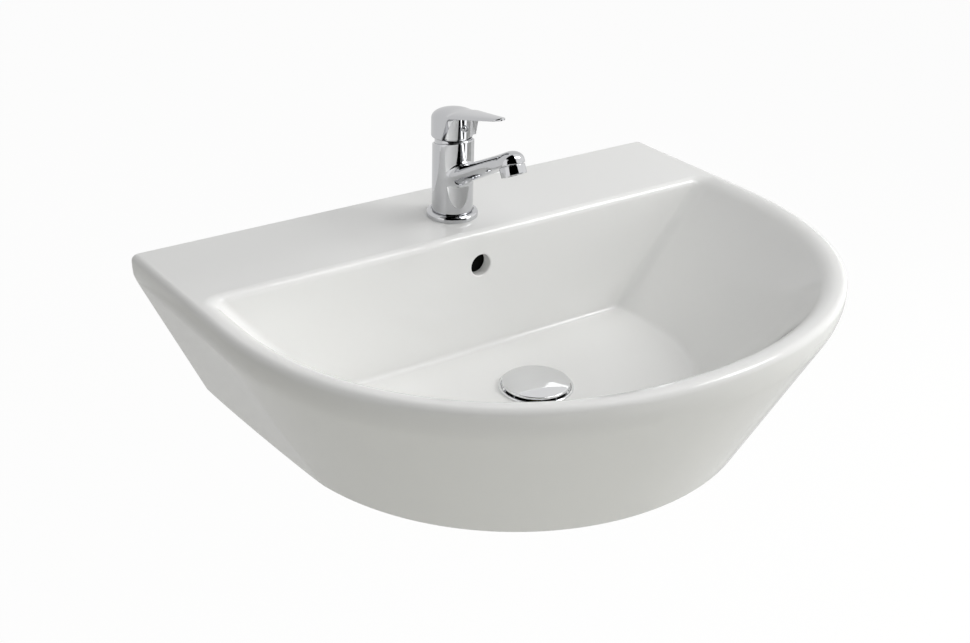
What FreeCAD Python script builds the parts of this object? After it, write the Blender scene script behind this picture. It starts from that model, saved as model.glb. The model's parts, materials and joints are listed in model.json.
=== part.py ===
import FreeCAD, Part
import math
import os

# Wall-hung ceramic basin with a single-lever mixer tap and a push-open waste.
# Millimetres. The origin lies on the wall plane, midway between the two fixing holes.
# +Z is up, +Y points into the wall and -Y towards the user.

# General
OVERRUN = 2.0               # how far every cutting tool runs past the face it cuts
TOLERANCE = 0.05            # for finding edges by their place

# Basin, outside
BASIN_WIDTH = 600.0
BASIN_DEPTH = 460.0
BASIN_HEIGHT = 158.0
FIXING_DROP = 80.0          # rim plane above the fixing holes
RIM_SIDE = 170.0            # straight part of each side, measured from the wall
RIM_FULL_SHARE = 0.61       # fullness of the rounded front
RIM_BAND = 20.0             # upright band under the rim
RIM_ROUND = 9.0
BAND_ROUND = 12.0
FOOT_DRAW = 65.0            # how far the foot stands in from the rim, at the sides
FOOT_FRONT_DRAW = 64.0
FOOT_TAPER = 10.0           # further narrowing along the foot's straight side
FOOT_SIDE = 212.0
FOOT_TURN_DEG = 11.0
FOOT_SIDE_SHARE = 0.60
FOOT_FRONT_SHARE = 0.49
SIDE_START_SHARE = 0.33     # part of each side that leaves the wall squarely
SIDE_LEAD_SHARE = 0.10      # how softly each side runs into the front curve
FOOT_ROUND = 3.0

# Basin, bowl and walls
LIP = 17.0                  # width of the rim round the bowl
DECK_DEPTH = 122.5          # from the wall to the bowl's back wall
FLOOR_LIFT = 34.0           # bowl floor above the foot
BOWL_SIDE_DRAW = 105.0      # how far the floor stands in from the mouth, at the sides
BOWL_FRONT_DRAW = 101.0
FLOOR_SIDE = 185.0
FLOOR_FULL_SHARE = 0.56
BOWL_CORNER = 20.0
BOWL_FLOOR_ROUND = 9.0
MOUTH_ROUND = 6.5
SHELL = 11.0                # thickness of the ceramic walls
DECK_THICK = 12.0
BACK_PLATE = 14.0
SERVICE_GAP_WIDTH = 210.0   # opening in the back plate for the pipes
SERVICE_GAP_RISE = 66.0
FIXING_SPACING = 280.0
FIXING_HOLE = 14.0

# Basin, overflow
OVERFLOW_DROP = 35.0        # centre of the hole below the rim
OVERFLOW_HOLE = 21.5
OVERFLOW_ROUND = 1.5
DUCT_WIDTH = 40.0
DUCT_DEPTH = 10.0
DUCT_WALL = 7.0
DUCT_HEAD = 15.0            # duct above the centre of the hole
CHANNEL_RISE = 11.0         # height of the channel under the floor

# Waste fitting
WASTE_FROM_BACK = 93.0      # from the bowl's back wall
WASTE_HOLE = 46.0
WASTE_BOSS = 88.0
WASTE_REBATE = 8.0
FLANGE_WIDTH = 71.0
FLANGE_PROUD = 2.0
FLANGE_LIP = 2.8
FLANGE_WALL = 1.4
FLANGE_BASE = 2.0
FLANGE_EASE = 0.8
FLANGE_SEAL = 1.5
REBATE_CLEAR = 0.4
TAIL_WIDTH = 41.9           # G 1 1/4 tail
TAIL_WALL = 2.35
TAIL_DROP = 47.0            # tail below the foot of the basin
TAIL_FREE = 30.0            # free end of the tail, for the trap
TAIL_GROOVE = 2.0           # relief groove above the free end
TAIL_GROOVE_DEPTH = 1.0
SLOT_WIDTH = 12.0
SLOT_COUNT = 4
LEDGE = 1.2                 # ledge inside the tail that carries the guide
LEDGE_DROP = 2.0            # ledge below the foot of the basin
LOWER_SEAL = 5.0
LOWER_SEAL_WIDTH = 62.0
LOWER_SEAL_TAPER = 4.0
BACKNUT = 9.0
BACKNUT_ACROSS = 56.0
THREAD_CLEAR = 0.1

# Push-open plug
PLUG_TRAVEL = 6.0
CAP_WIDTH = 64.2
CAP_CROWN = 2.6
CAP_SKIN = 1.6
CAP_EDGE = 2.2
PLUG_SEAL_WIDTH = 52.0
PLUG_SEAL_BAND = 5.0
PLUG_SEAL_THICK = 2.4
PLUG_SEAT_GAP = 0.3
CAP_BOSS = 17.0
CAP_BOSS_DEPTH = 8.0
CAP_RIB = 1.5             # rib inside the seal that holds it in place
STEM = 10.8
STEM_CLEAR = 1.5            # end of the stem above the guide's ledge, plug open
GUIDE_CLEAR = 0.08
GUIDE_WALL = 1.9
GUIDE_FLOOR = 2.0
GUIDE_HEAD = 12.0           # barrel above the guide's ring
GUIDE_RING = 4.0
GUIDE_RING_WALL = 1.6
GUIDE_ARM = 4.0
GUIDE_ARM_COUNT = 3
SPRING_ROOM = 9.0
SPRING_WIRE = 0.9
SPRING_WIDTH = 9.0
SPRING_GAP = 0.3
SPRING_TURNS = 3
SPRING_STEPS = 12           # straight steps in each turn

# Tap, base and body
TAP_FROM_BOWL = 50.9        # tap axis behind the bowl's back wall
TAP_HOLE = 35.0
BASE_RING = 50.0
BASE_RING_RISE = 6.0
BASE_RING_EDGE = 2.8
BASE_RING_TOP = 42.6
BASE_RING_BORE = 34.0
BASE_SEAL = 1.6
BASE_SEAL_WIDTH = 45.6
BASE_SEAL_CLEAR = 0.2
TAP_BODY = 40.0
TAP_BODY_TOP = 75.0         # body top above the deck, on its axis
TAP_TOP_SLOPE_DEG = 13.0    # the top falls away to the back, clear of the lifted lever
INLET_ASIDE = 6.8
INLET_BACK = 1.0
INLET_THREAD = 9.0
INLET_PORT = 5.4
STUD_BACK = 12.0

# Tap, spout
SPOUT_AXIS_Z = 37.1         # spout axis above the deck, where it meets the body's axis
SPOUT_RISE_DEG = 27.5
SPOUT_LENGTH = 103.0
SPOUT_START = 6.0
SPOUT_ROOT_WIDTH = 28.0
SPOUT_ROOT_HEIGHT = 18.4
SPOUT_END_WIDTH = 23.6
SPOUT_END_HEIGHT = 14.0
SPOUT_BLEND = 3.5
SPOUT_BORE = 6.0
BORE_LIFT = 2.4             # bore above the spout axis at the head
CHAMBER = 12.0
CHAMBER_RISE = 4.4
HEAD = 25.4
HEAD_BELOW = 6.0            # flat end of the head below the spout axis
HEAD_ABOVE = 7.4
HEAD_BARREL_SHARE = 0.30    # upright part of the head's side
AERATOR = 24.0
AERATOR_LENGTH = 9.2
AERATOR_THREAD = 21.0
AERATOR_THREAD_LENGTH = 4.2
AERATOR_WALL = 2.6
AERATOR_EDGE = 0.8
INSERT_CLEAR = 0.15
INSERT_RIM = 1.6
INSERT_HOLE = 2.2
INSERT_HOLE_COUNT = 6
INSERT_RING = 9.4
INSERT_FLOOR = 2.4
INSERT_SET_BACK = 0.6
AERATOR_STEP = 1.2
AERATOR_THROAT = 15.6
AERATOR_SEAL = 1.0

# Tap, cartridge
PIVOT_Z = 64.0              # lever pivot above the deck
CARTRIDGE = 28.0
CARTRIDGE_SEAT_Z = 49.5
CARTRIDGE_WALL = 1.4
CARTRIDGE_CLEAR = 0.1
CARTRIDGE_FOOT_GAP = 0.2
SHOULDER = 31.2
SHOULDER_Z = 57.8
SHOULDER_THICK = 2.2
CARTRIDGE_TOP_Z = 69.0
CARTRIDGE_TOP = 1.2
CARTRIDGE_MOUTH = 19.0
CLAMP_NUT = 32.0
CLAMP_NUT_THICK = 6.0
DISC_SEAL = 1.2
FIXED_DISC = 24.8
DISC_THICK = 3.0
DISC_GAP = 0.05
OUTLET_FRONT = 6.0
OUTLET_PORT = 6.0
MOVING_DISC = 18.0
POCKET = 6.0
POCKET_DEPTH = 2.0
CARRIER_CLEAR = 0.08
CARRIER_GAP = 0.25
CARRIER_SLOT_LENGTH = 12.4
CARRIER_TOP_GAP = 0.3
PIVOT_PIN = 3.0
PIVOT_PIN_LENGTH = 20.0
PIN_CLEAR = 0.03
SPINDLE = 7.0
SPINDLE_TOP_Z = 97.0
SPINDLE_CLEAR = 0.3
SPINDLE_ARM = 4.4
SPINDLE_ARM_END = 0.3       # arm end above the pocket's floor
SPINDLE_NECK_Z = 59.5
DOME = 36.0                 # chrome dome, a ball about the lever pivot
DOME_SKIN = 1.3
DOME_MOUTH = 23.0
DOME_LEDGE_Z = 69.3
DOME_SKIRT = 1.3
DOME_SOCKET = 36.2

# Tap, lever
HOOD = 42.6
HOOD_BASE_Z = 80.5
HOOD_SHOULDER_Z = 96.9      # the upright wall ends here and the domed top starts
HOOD_CREST_Z = 106.9
HOOD_EAVE = 1.6             # the dome would end this far outside the wall, which leaves a soft edge
HOOD_WINDOW_FOOT = 9.0
HOOD_WINDOW_HEAD = 16.0
HOOD_WINDOW_Z = 103.5
HOOD_WINDOW_ROUND = 5.0
HUB = 37.6
HUB_BASE_Z = 81.5
HUB_COLLAR = 33.0           # collar that closes the gap between the hub and the dome
BLADE_ROOT_Z = 109.0        # top of the blade above the open front
BLADE_REACH = 77.0
BLADE_TIP = 14.0
BLADE_TIP_TOP_Z = 119.2
BLADE_TIP_UNDER_Z = 116.6
BLADE_ROUND_SHARE = 0.8     # part of the blade's thickness that is rounded
DOME_CLEAR = 0.6
SOCKET_CLEAR = 0.15
SOCKET_TOP_CLEAR = 0.5
INDEX_Z = 92.0
INDEX_PLUG = 7.6
INDEX_DEPTH = 4.0
INDEX_PROUD = 0.5
INDEX_CLEAR = 0.05
GRUB_SCREW = 5.0
GRUB_LENGTH = 8.0
GRUB_KEY = 2.5
GRUB_KEY_DEPTH = 2.5

# Tap, fixing under the deck
STUD = 8.0
STUD_DEPTH = 13.0
STUD_DROP = 44.0            # stud below the deck's top
STUD_CLEAR = 0.05
HORSESHOE = 44.0
HORSESHOE_GAP = 23.0
HORSESHOE_WEB = 1.5         # metal left in front of the stud
HORSESHOE_SEAL = 3.0
HORSESHOE_PLATE = 2.5
STUD_NUT = 6.5
STUD_NUT_ACROSS = 13.0

# Levels and places that follow from the sizes above
RIM_Z = FIXING_DROP
FOOT_Z = RIM_Z - BASIN_HEIGHT
BAND_Z = RIM_Z - RIM_BAND
BOWL_DEPTH = BASIN_HEIGHT - FLOOR_LIFT
FLOOR_Z = RIM_Z - BOWL_DEPTH
DECK_UNDER_Z = RIM_Z - DECK_THICK
MOUTH_HALF_WIDTH = BASIN_WIDTH / 2 - LIP
MOUTH_FRONT = BASIN_DEPTH - LIP
FLOOR_HALF_WIDTH = MOUTH_HALF_WIDTH - BOWL_SIDE_DRAW
FLOOR_FRONT = MOUTH_FRONT - BOWL_FRONT_DRAW
WASTE_Y = -DECK_DEPTH - WASTE_FROM_BACK
TAP_Y = TAP_FROM_BOWL - DECK_DEPTH
REBATE_Z = FLOOR_Z - WASTE_REBATE
FLANGE_BASE_Z = REBATE_Z + FLANGE_SEAL
FLANGE_FLOOR_Z = FLANGE_BASE_Z + FLANGE_BASE
FLANGE_TOP_Z = FLOOR_Z + FLANGE_PROUD
FLANGE_CUP = FLANGE_WIDTH / 2 - FLANGE_LIP
TAIL_BORE = TAIL_WIDTH / 2 - TAIL_WALL
TAIL_END_Z = FOOT_Z - TAIL_DROP
LEDGE_Z = FOOT_Z - LEDGE_DROP
CHANNEL_Z = FOOT_Z + DUCT_WALL
PLUG_SEAL_Z = FLANGE_FLOOR_Z + PLUG_SEAT_GAP + PLUG_TRAVEL
CAP_UNDER_Z = PLUG_SEAL_Z + PLUG_SEAL_THICK
CAP_EDGE_Z = CAP_UNDER_Z + CAP_SKIN
STEM_END_Z = LEDGE_Z + STEM_CLEAR
GUIDE_FLOOR_Z = STEM_END_Z - SPRING_ROOM
BASE_TOP_Z = RIM_Z + BASE_RING_RISE
PIVOT = RIM_Z + PIVOT_Z
SEAT_Z = RIM_Z + CARTRIDGE_SEAT_Z
FIXED_DISC_Z = SEAT_Z + DISC_SEAL
MOVING_DISC_Z = FIXED_DISC_Z + DISC_THICK + DISC_GAP
CARRIER_Z = MOVING_DISC_Z + DISC_THICK + CARRIER_GAP
CARTRIDGE_INNER = CARTRIDGE / 2 - CARTRIDGE_WALL
SPOUT_Z = RIM_Z + SPOUT_AXIS_Z
HEAD_Y = TAP_Y - SPOUT_LENGTH
HEAD_END_Z = SPOUT_Z - HEAD_BELOW
SOCKET_Z = HEAD_END_Z + AERATOR_THREAD_LENGTH + AERATOR_SEAL
HUB_FRONT_Y = TAP_Y - HUB / 2
LEVER_LEAN = math.asin((HOOD - BLADE_TIP) / 2 / (BLADE_REACH - BLADE_TIP / 2))
GUIDE_TOP_Z = LEDGE_Z + GUIDE_RING

UP = FreeCAD.Vector(0, 0, 1)
ACROSS = FreeCAD.Vector(1, 0, 0)
INWARD = FreeCAD.Vector(0, 1, 0)
FULL_TURN = 360.0


def at(x, y, z):
    return FreeCAD.Vector(x, y, z)


def rod(width, low, high, y, x=0.0):
    """Upright cylinder of a given diameter between two levels."""
    return Part.makeCylinder(width / 2, high - low, at(x, y, low))


def pipe(outer, inner, low, high, y):
    return rod(outer, low, high, y).cut(rod(inner, low - OVERRUN, high + OVERRUN, y))


def bore(width, front, back, z, x=0.0):
    """Level cylinder along Y between two places."""
    return Part.makeCylinder(width / 2, back - front, at(x, front, z), INWARD)


def block(left, right, front, back, low, high):
    return Part.makeBox(right - left, back - front, high - low, at(left, front, low))


def polygon(points):
    return Part.Face(Part.makePolygon(points + points[:1]))


def turned(profile, y):
    """Solid of revolution about an upright axis: the profile is radius and level."""
    face = polygon([at(radius, y, level) for radius, level in profile])
    return face.revolve(at(0, y, 0), UP, FULL_TURN)


def hexagon(across, low, high, y):
    corner = across / math.sqrt(3)
    angles = [math.radians(FULL_TURN * step / 6) for step in range(6)]
    points = [at(corner * math.cos(a), y + corner * math.sin(a), low) for a in angles]
    return polygon(points).extrude(at(0, 0, high - low))


def ball(width, y, z):
    return Part.makeSphere(width / 2, at(0, y, z))


def tipped(shape, degrees, y, z):
    """The shape turned about the level X axis through a place."""
    shape.rotate(at(0, y, z), ACROSS, degrees)
    return shape


def half_outline(half, back, side, front, side_share, front_share, taper=0.0, turn=0.0):
    """Right half of a D: corner, two handles, end of the side, two handles and nose."""
    joint = half - taper
    reach = side_share * (front - side)
    bend = (reach * math.sin(turn), reach * math.cos(turn))
    inward = (joint + SIDE_LEAD_SHARE * bend[0], -side + SIDE_LEAD_SHARE * bend[1])
    outset = (half, -back - SIDE_START_SHARE * (side - back))
    return [(half, -back), outset, inward, (joint, -side),
            (joint - bend[0], -side - bend[1]), (front_share * joint, -front), (0.0, -front)]


def closed_outline(half, z):
    """Closed wire of a D: two sides, a straight back and a curved front."""
    right = [at(x, y, z) for x, y in half]
    left = [at(-x, y, z) for x, y in half]

    def curve(points):
        bow = Part.BezierCurve()
        bow.setPoles(points)
        return bow.toShape()

    return Part.Wire([
        curve(right[:4]),
        curve(right[3:]),
        curve(left[:2:-1]),
        curve(left[3::-1]),
        Part.makeLine(left[0], right[0]),
    ])


def between(first, second, share):
    """Outline a share of the way from the first half outline to the second."""
    return [(a[0] + (b[0] - a[0]) * share, a[1] + (b[1] - a[1]) * share)
            for a, b in zip(first, second)]


def rim_half(inset=0.0, back=0.0):
    return half_outline(BASIN_WIDTH / 2 - inset, back, RIM_SIDE, BASIN_DEPTH - inset,
                        RIM_FULL_SHARE, RIM_FULL_SHARE)


def foot_half(inset=0.0, back=0.0):
    return half_outline(BASIN_WIDTH / 2 - FOOT_DRAW - inset, back, FOOT_SIDE,
                        BASIN_DEPTH - FOOT_FRONT_DRAW - inset, FOOT_SIDE_SHARE,
                        FOOT_FRONT_SHARE, FOOT_TAPER, math.radians(FOOT_TURN_DEG))


def mouth_half(grow=0.0):
    return half_outline(MOUTH_HALF_WIDTH + grow, DECK_DEPTH - grow, RIM_SIDE,
                        MOUTH_FRONT + grow, RIM_FULL_SHARE, RIM_FULL_SHARE)


def floor_half(grow=0.0):
    return half_outline(FLOOR_HALF_WIDTH + grow, DECK_DEPTH - grow, FLOOR_SIDE,
                        FLOOR_FRONT + grow, FLOOR_FULL_SHARE, FLOOR_FULL_SHARE)


def ruled(levels):
    return Part.makeLoft([closed_outline(half, z) for half, z in levels], True, True)


def level_edges(shape, z):
    """Edges that lie in a level plane and are off the wall plane."""
    found = []
    for edge in shape.Edges:
        box = edge.BoundBox
        if abs(box.ZMin - z) < TOLERANCE and abs(box.ZMax - z) < TOLERANCE:
            if box.YMin < -TOLERANCE:
                found.append(edge)
    return found


def outer_body():
    """Upright rim band on a wall that leans in to the foot, with soft edges and a flat back."""
    rim = rim_half(back=-OVERRUN)
    body = ruled([(foot_half(back=-OVERRUN), FOOT_Z), (rim, BAND_Z), (rim, RIM_Z)])
    body = body.makeFillet(BAND_ROUND, level_edges(body, BAND_Z))
    body = body.makeFillet(RIM_ROUND, level_edges(body, RIM_Z))
    body = body.makeFillet(FOOT_ROUND, level_edges(body, FOOT_Z))
    return body.cut(block(-BASIN_WIDTH, BASIN_WIDTH, 0, 2 * OVERRUN, FOOT_Z - OVERRUN, RIM_Z + OVERRUN))


def bowl_space():
    """The hollow of the bowl, run on past the rim, with rounded corners and floor edge."""
    past = 1 + OVERRUN / BOWL_DEPTH
    top = between(floor_half(), mouth_half(), past)
    space = ruled([(floor_half(), FLOOR_Z), (top, RIM_Z + OVERRUN)])
    corners = [edge for edge in space.Edges
               if edge.BoundBox.ZLength > BOWL_DEPTH
               and abs(edge.BoundBox.YMax + DECK_DEPTH) < TOLERANCE
               and edge.BoundBox.YLength < TOLERANCE]
    space = space.makeFillet(BOWL_CORNER, corners)
    return space.makeFillet(BOWL_FLOOR_ROUND, level_edges(space, FLOOR_Z))


def underside_space():
    """The open hollow between the outer wall, the deck and the outside of the bowl."""
    foot = foot_half(SHELL, BACK_PLATE)
    rim = rim_half(SHELL, BACK_PLATE)
    past = 1 + OVERRUN / (BAND_Z - FOOT_Z)
    low = between(rim, foot, past)
    inside = ruled([(low, FOOT_Z - OVERRUN), (rim, BAND_Z), (rim, DECK_UNDER_Z)])
    bowl = ruled([(floor_half(SHELL), FLOOR_Z - SHELL), (mouth_half(SHELL), RIM_Z)])
    return inside.cut(bowl)


def duct(outside):
    """Overflow duct down the back of the bowl and along under its floor to the waste."""
    wall = DUCT_WALL if outside else 0.0
    half = DUCT_WIDTH / 2 + wall
    front = -DECK_DEPTH + SHELL
    back = front + DUCT_DEPTH + wall
    head = RIM_Z - OVERFLOW_DROP + DUCT_HEAD + wall
    low = CHANNEL_Z - wall
    high = CHANNEL_Z + CHANNEL_RISE + wall
    fall = block(-half, half, front - wall, back, low, head)
    channel = block(-half, half, WASTE_Y, back, low, high)
    return fall.fuse(channel)


def make_basin():
    """Ceramic body: rim, bowl, open underside, overflow duct, waste boss and holes."""
    basin = outer_body().cut(bowl_space())
    mouth = []
    for edge in level_edges(basin, RIM_Z):
        box = edge.BoundBox
        inside = max(box.XMax, -box.XMin) < MOUTH_HALF_WIDTH + TOLERANCE
        if inside and box.YMax < -DECK_DEPTH + TOLERANCE:
            mouth.append(edge)
    basin = basin.makeFillet(MOUTH_ROUND, mouth)
    basin = basin.cut(underside_space())
    boss = rod(WASTE_BOSS, FOOT_Z, FLOOR_Z - SHELL, WASTE_Y)
    basin = basin.fuse(boss).fuse(duct(True).cut(bowl_space())).removeSplitter()
    basin = basin.cut(duct(False))
    basin = basin.cut(rod(WASTE_HOLE, FOOT_Z - OVERRUN, FLOOR_Z + OVERRUN, WASTE_Y))
    rebate = 2 * (FLANGE_CUP + FLANGE_WALL + REBATE_CLEAR)
    basin = basin.cut(rod(rebate, REBATE_Z, FLOOR_Z + OVERRUN, WASTE_Y))
    overflow_z = RIM_Z - OVERFLOW_DROP
    duct_mid = -DECK_DEPTH + SHELL + DUCT_DEPTH / 2
    basin = basin.cut(bore(OVERFLOW_HOLE, -DECK_DEPTH - OVERRUN, duct_mid, overflow_z))
    edge_of_hole = [edge for edge in basin.Edges
                    if abs(edge.BoundBox.YMax + DECK_DEPTH) < TOLERANCE
                    and abs(edge.BoundBox.YMin + DECK_DEPTH) < TOLERANCE
                    and max(edge.BoundBox.XMax, -edge.BoundBox.XMin) < OVERFLOW_HOLE / 2 + TOLERANCE
                    and edge.BoundBox.ZMax < overflow_z + OVERFLOW_HOLE / 2 + TOLERANCE]
    basin = basin.makeFillet(OVERFLOW_ROUND, edge_of_hole)
    basin = basin.cut(rod(TAP_HOLE, DECK_UNDER_Z - OVERRUN, RIM_Z + OVERRUN, TAP_Y))
    for side in (-1, 1):
        place = side * FIXING_SPACING / 2
        basin = basin.cut(bore(FIXING_HOLE, -BACK_PLATE - OVERRUN, OVERRUN, 0, place))
    gap = block(-SERVICE_GAP_WIDTH / 2, SERVICE_GAP_WIDTH / 2, -BACK_PLATE - OVERRUN, OVERRUN,
                FOOT_Z - OVERRUN, FOOT_Z + SERVICE_GAP_RISE)
    return basin.cut(gap)


def around(shape, count, y):
    """Copies of a shape spread evenly about an upright axis."""
    copies = []
    for step in range(count):
        copy = shape.copy()
        copy.rotate(at(0, y, 0), UP, FULL_TURN * step / count)
        copies.append(copy)
    return copies


def arc(first, middle, last):
    return Part.Arc(first, middle, last).toShape()


def quarter(radius, low, width, height, y):
    """Quarter of an oval in a profile, from its side up to its top."""
    oval = Part.Ellipse(at(radius + width, y, low), at(radius, y, low + height),
                        at(radius, y, low))
    return Part.ArcOfEllipse(oval, 0, math.pi / 2).toShape()


def run(points):
    """Straight edges that join a row of points."""
    return [Part.makeLine(a, b) for a, b in zip(points, points[1:])]


def make_waste_body():
    """Flange cup, threaded tail, overflow slots and the ledge for the guide."""
    edge = FLANGE_WIDTH / 2
    wall = FLANGE_CUP + FLANGE_WALL
    eased = FLANGE_TOP_Z - FLANGE_EASE
    free = TAIL_END_Z + TAIL_FREE
    neck = TAIL_WIDTH / 2 - TAIL_GROOVE_DEPTH
    body = turned([
        (TAIL_BORE, FLANGE_FLOOR_Z), (FLANGE_CUP, FLANGE_FLOOR_Z), (FLANGE_CUP, eased),
        (FLANGE_CUP + FLANGE_EASE, FLANGE_TOP_Z), (edge - FLANGE_EASE, FLANGE_TOP_Z),
        (edge, eased), (edge, FLOOR_Z), (wall, FLOOR_Z), (wall, FLANGE_BASE_Z),
        (TAIL_WIDTH / 2, FLANGE_BASE_Z), (TAIL_WIDTH / 2, free + TAIL_GROOVE),
        (neck, free + TAIL_GROOVE), (neck, free), (TAIL_WIDTH / 2, free), (TAIL_WIDTH / 2, TAIL_END_Z),
        (TAIL_BORE - LEDGE, TAIL_END_Z), (TAIL_BORE - LEDGE, LEDGE_Z), (TAIL_BORE, LEDGE_Z),
    ], WASTE_Y)
    slot = block(-SLOT_WIDTH / 2, SLOT_WIDTH / 2, WASTE_Y, WASTE_Y + TAIL_WIDTH,
                 CHANNEL_Z, CHANNEL_Z + CHANNEL_RISE)
    for cutter in around(slot, SLOT_COUNT, WASTE_Y):
        body = body.cut(cutter)
    return body


def make_flange_gasket():
    return pipe(2 * (FLANGE_CUP + FLANGE_WALL), WASTE_HOLE, REBATE_Z, FLANGE_BASE_Z, WASTE_Y)


def make_lower_gasket():
    top = LOWER_SEAL_WIDTH / 2 - LOWER_SEAL_TAPER
    low = FOOT_Z - LOWER_SEAL
    return turned([(TAIL_WIDTH / 2, low), (LOWER_SEAL_WIDTH / 2, low), (top, FOOT_Z),
                   (TAIL_WIDTH / 2, FOOT_Z)], WASTE_Y)


def make_backnut():
    high = FOOT_Z - LOWER_SEAL
    nut = hexagon(BACKNUT_ACROSS, high - BACKNUT, high, WASTE_Y)
    return nut.cut(rod(TAIL_WIDTH + 2 * THREAD_CLEAR, high - BACKNUT - OVERRUN,
                       high + OVERRUN, WASTE_Y))


def make_waste_cap():
    """Domed disc with a short skirt, a rib for its seal and a boss for the stem."""
    radius = CAP_WIDTH / 2
    sphere = (radius ** 2 + CAP_CROWN ** 2) / CAP_CROWN
    top = CAP_EDGE_Z + CAP_CROWN
    skirt = CAP_EDGE_Z - CAP_EDGE
    cap = rod(CAP_WIDTH, skirt, top, WASTE_Y).common(ball(sphere, WASTE_Y, top - sphere / 2))
    cap = cap.cut(rod(CAP_WIDTH - 2 * CAP_SKIN, skirt - OVERRUN, CAP_UNDER_Z, WASTE_Y))
    inner = PLUG_SEAL_WIDTH - 2 * PLUG_SEAL_BAND
    rib = pipe(inner, inner - 2 * CAP_RIB, CAP_UNDER_Z - CAP_RIB, CAP_UNDER_Z, WASTE_Y)
    boss = pipe(CAP_BOSS, STEM, CAP_UNDER_Z - CAP_BOSS_DEPTH, CAP_UNDER_Z, WASTE_Y)
    return cap.fuse(rib).fuse(boss).removeSplitter()


def make_cap_seal():
    return pipe(PLUG_SEAL_WIDTH, PLUG_SEAL_WIDTH - 2 * PLUG_SEAL_BAND, PLUG_SEAL_Z,
                CAP_UNDER_Z, WASTE_Y)


def make_plug_stem():
    return rod(STEM, STEM_END_Z, CAP_UNDER_Z, WASTE_Y)


def make_click_guide():
    """Barrel for the stem, carried by three arms in a ring that stands on the ledge."""
    outer = 2 * (TAIL_BORE - GUIDE_CLEAR)
    inside = STEM + 2 * GUIDE_CLEAR
    barrel = rod(inside + 2 * GUIDE_WALL, GUIDE_FLOOR_Z - GUIDE_FLOOR,
                 GUIDE_TOP_Z + GUIDE_HEAD, WASTE_Y)
    ring = pipe(outer, outer - 2 * GUIDE_RING_WALL, LEDGE_Z, GUIDE_TOP_Z, WASTE_Y)
    reach = WASTE_Y + outer / 2 - GUIDE_RING_WALL / 2
    arm = block(-GUIDE_ARM / 2, GUIDE_ARM / 2, WASTE_Y, reach, LEDGE_Z, GUIDE_TOP_Z)
    guide = barrel.fuse([ring] + around(arm, GUIDE_ARM_COUNT, WASTE_Y)).removeSplitter()
    return guide.cut(rod(inside, GUIDE_FLOOR_Z, GUIDE_TOP_Z + GUIDE_HEAD + OVERRUN, WASTE_Y))


def make_click_spring():
    low = GUIDE_FLOOR_Z + SPRING_GAP + SPRING_WIRE / 2
    rise = STEM_END_Z - SPRING_GAP - SPRING_WIRE / 2 - low
    radius = (SPRING_WIDTH - SPRING_WIRE) / 2
    steps = SPRING_TURNS * SPRING_STEPS
    points = []
    for step in range(steps + 1):
        angle = 2 * math.pi * step / SPRING_STEPS
        points.append(at(radius * math.cos(angle), WASTE_Y + radius * math.sin(angle),
                         low + rise * step / steps))
    section = Part.Wire(Part.makeCircle(SPRING_WIRE / 2, points[0], points[1] - points[0]))
    return Part.makePolygon(points).makePipeShell([section], True, False, 1)


def make_base_ring():
    """Chrome foot with a rounded shoulder and a recess for its gasket."""
    outer = BASE_RING / 2
    shoulder = RIM_Z + BASE_RING_EDGE
    recess = BASE_SEAL_WIDTH / 2 + BASE_SEAL_CLEAR
    seal = RIM_Z + BASE_SEAL
    low = run([at(BASE_RING_TOP / 2, TAP_Y, BASE_TOP_Z), at(BASE_RING_BORE / 2, TAP_Y, BASE_TOP_Z),
               at(BASE_RING_BORE / 2, TAP_Y, seal), at(recess, TAP_Y, seal),
               at(recess, TAP_Y, RIM_Z), at(outer, TAP_Y, RIM_Z), at(outer, TAP_Y, shoulder)])
    top = quarter(BASE_RING_TOP / 2, shoulder, outer - BASE_RING_TOP / 2,
                  BASE_TOP_Z - shoulder, TAP_Y)
    face = Part.Face(Part.Wire(low + [top]))
    return face.revolve(at(0, TAP_Y, 0), UP, FULL_TURN)


def make_base_gasket():
    return pipe(BASE_SEAL_WIDTH, BASE_RING_BORE, RIM_Z, RIM_Z + BASE_SEAL, TAP_Y)


def raised(shape):
    """A shape drawn with the spout level, lifted to the spout's rise."""
    return tipped(shape, -SPOUT_RISE_DEG, TAP_Y, SPOUT_Z)


def oval(width, height, along):
    y = TAP_Y - along
    ring = Part.Ellipse(at(width / 2, y, SPOUT_Z), at(0, y, SPOUT_Z + height / 2),
                        at(0, y, SPOUT_Z))
    return Part.Wire(ring.toShape())


def spout_tube():
    tube = Part.makeLoft([oval(SPOUT_ROOT_WIDTH, SPOUT_ROOT_HEIGHT, SPOUT_START),
                          oval(SPOUT_END_WIDTH, SPOUT_END_HEIGHT, SPOUT_LENGTH)], True, True)
    return raised(tube)


def spout_head():
    """Rounded end of the spout: a short upright side under an oval dome."""
    radius = HEAD / 2
    barrel = HEAD_END_Z + HEAD_BARREL_SHARE * (HEAD_BELOW + HEAD_ABOVE)
    rise = SPOUT_Z + HEAD_ABOVE - barrel
    sides = run([at(0, HEAD_Y, barrel + rise), at(0, HEAD_Y, HEAD_END_Z),
                 at(radius, HEAD_Y, HEAD_END_Z), at(radius, HEAD_Y, barrel)])
    face = Part.Face(Part.Wire(sides + [quarter(0, barrel, radius, rise, HEAD_Y)]))
    return raised(face.revolve(at(0, HEAD_Y, 0), UP, FULL_TURN))


def tap_column():
    """Upright cylinder of the tap with its slanted top."""
    top = RIM_Z + TAP_BODY_TOP
    column = rod(TAP_BODY, BASE_TOP_Z, top + TAP_BODY, TAP_Y)
    slope = block(-TAP_BODY, TAP_BODY, TAP_Y - TAP_BODY, TAP_Y + TAP_BODY, top, top + 2 * TAP_BODY)
    return column.cut(tipped(slope, -TAP_TOP_SLOPE_DEG, TAP_Y, top))


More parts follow.
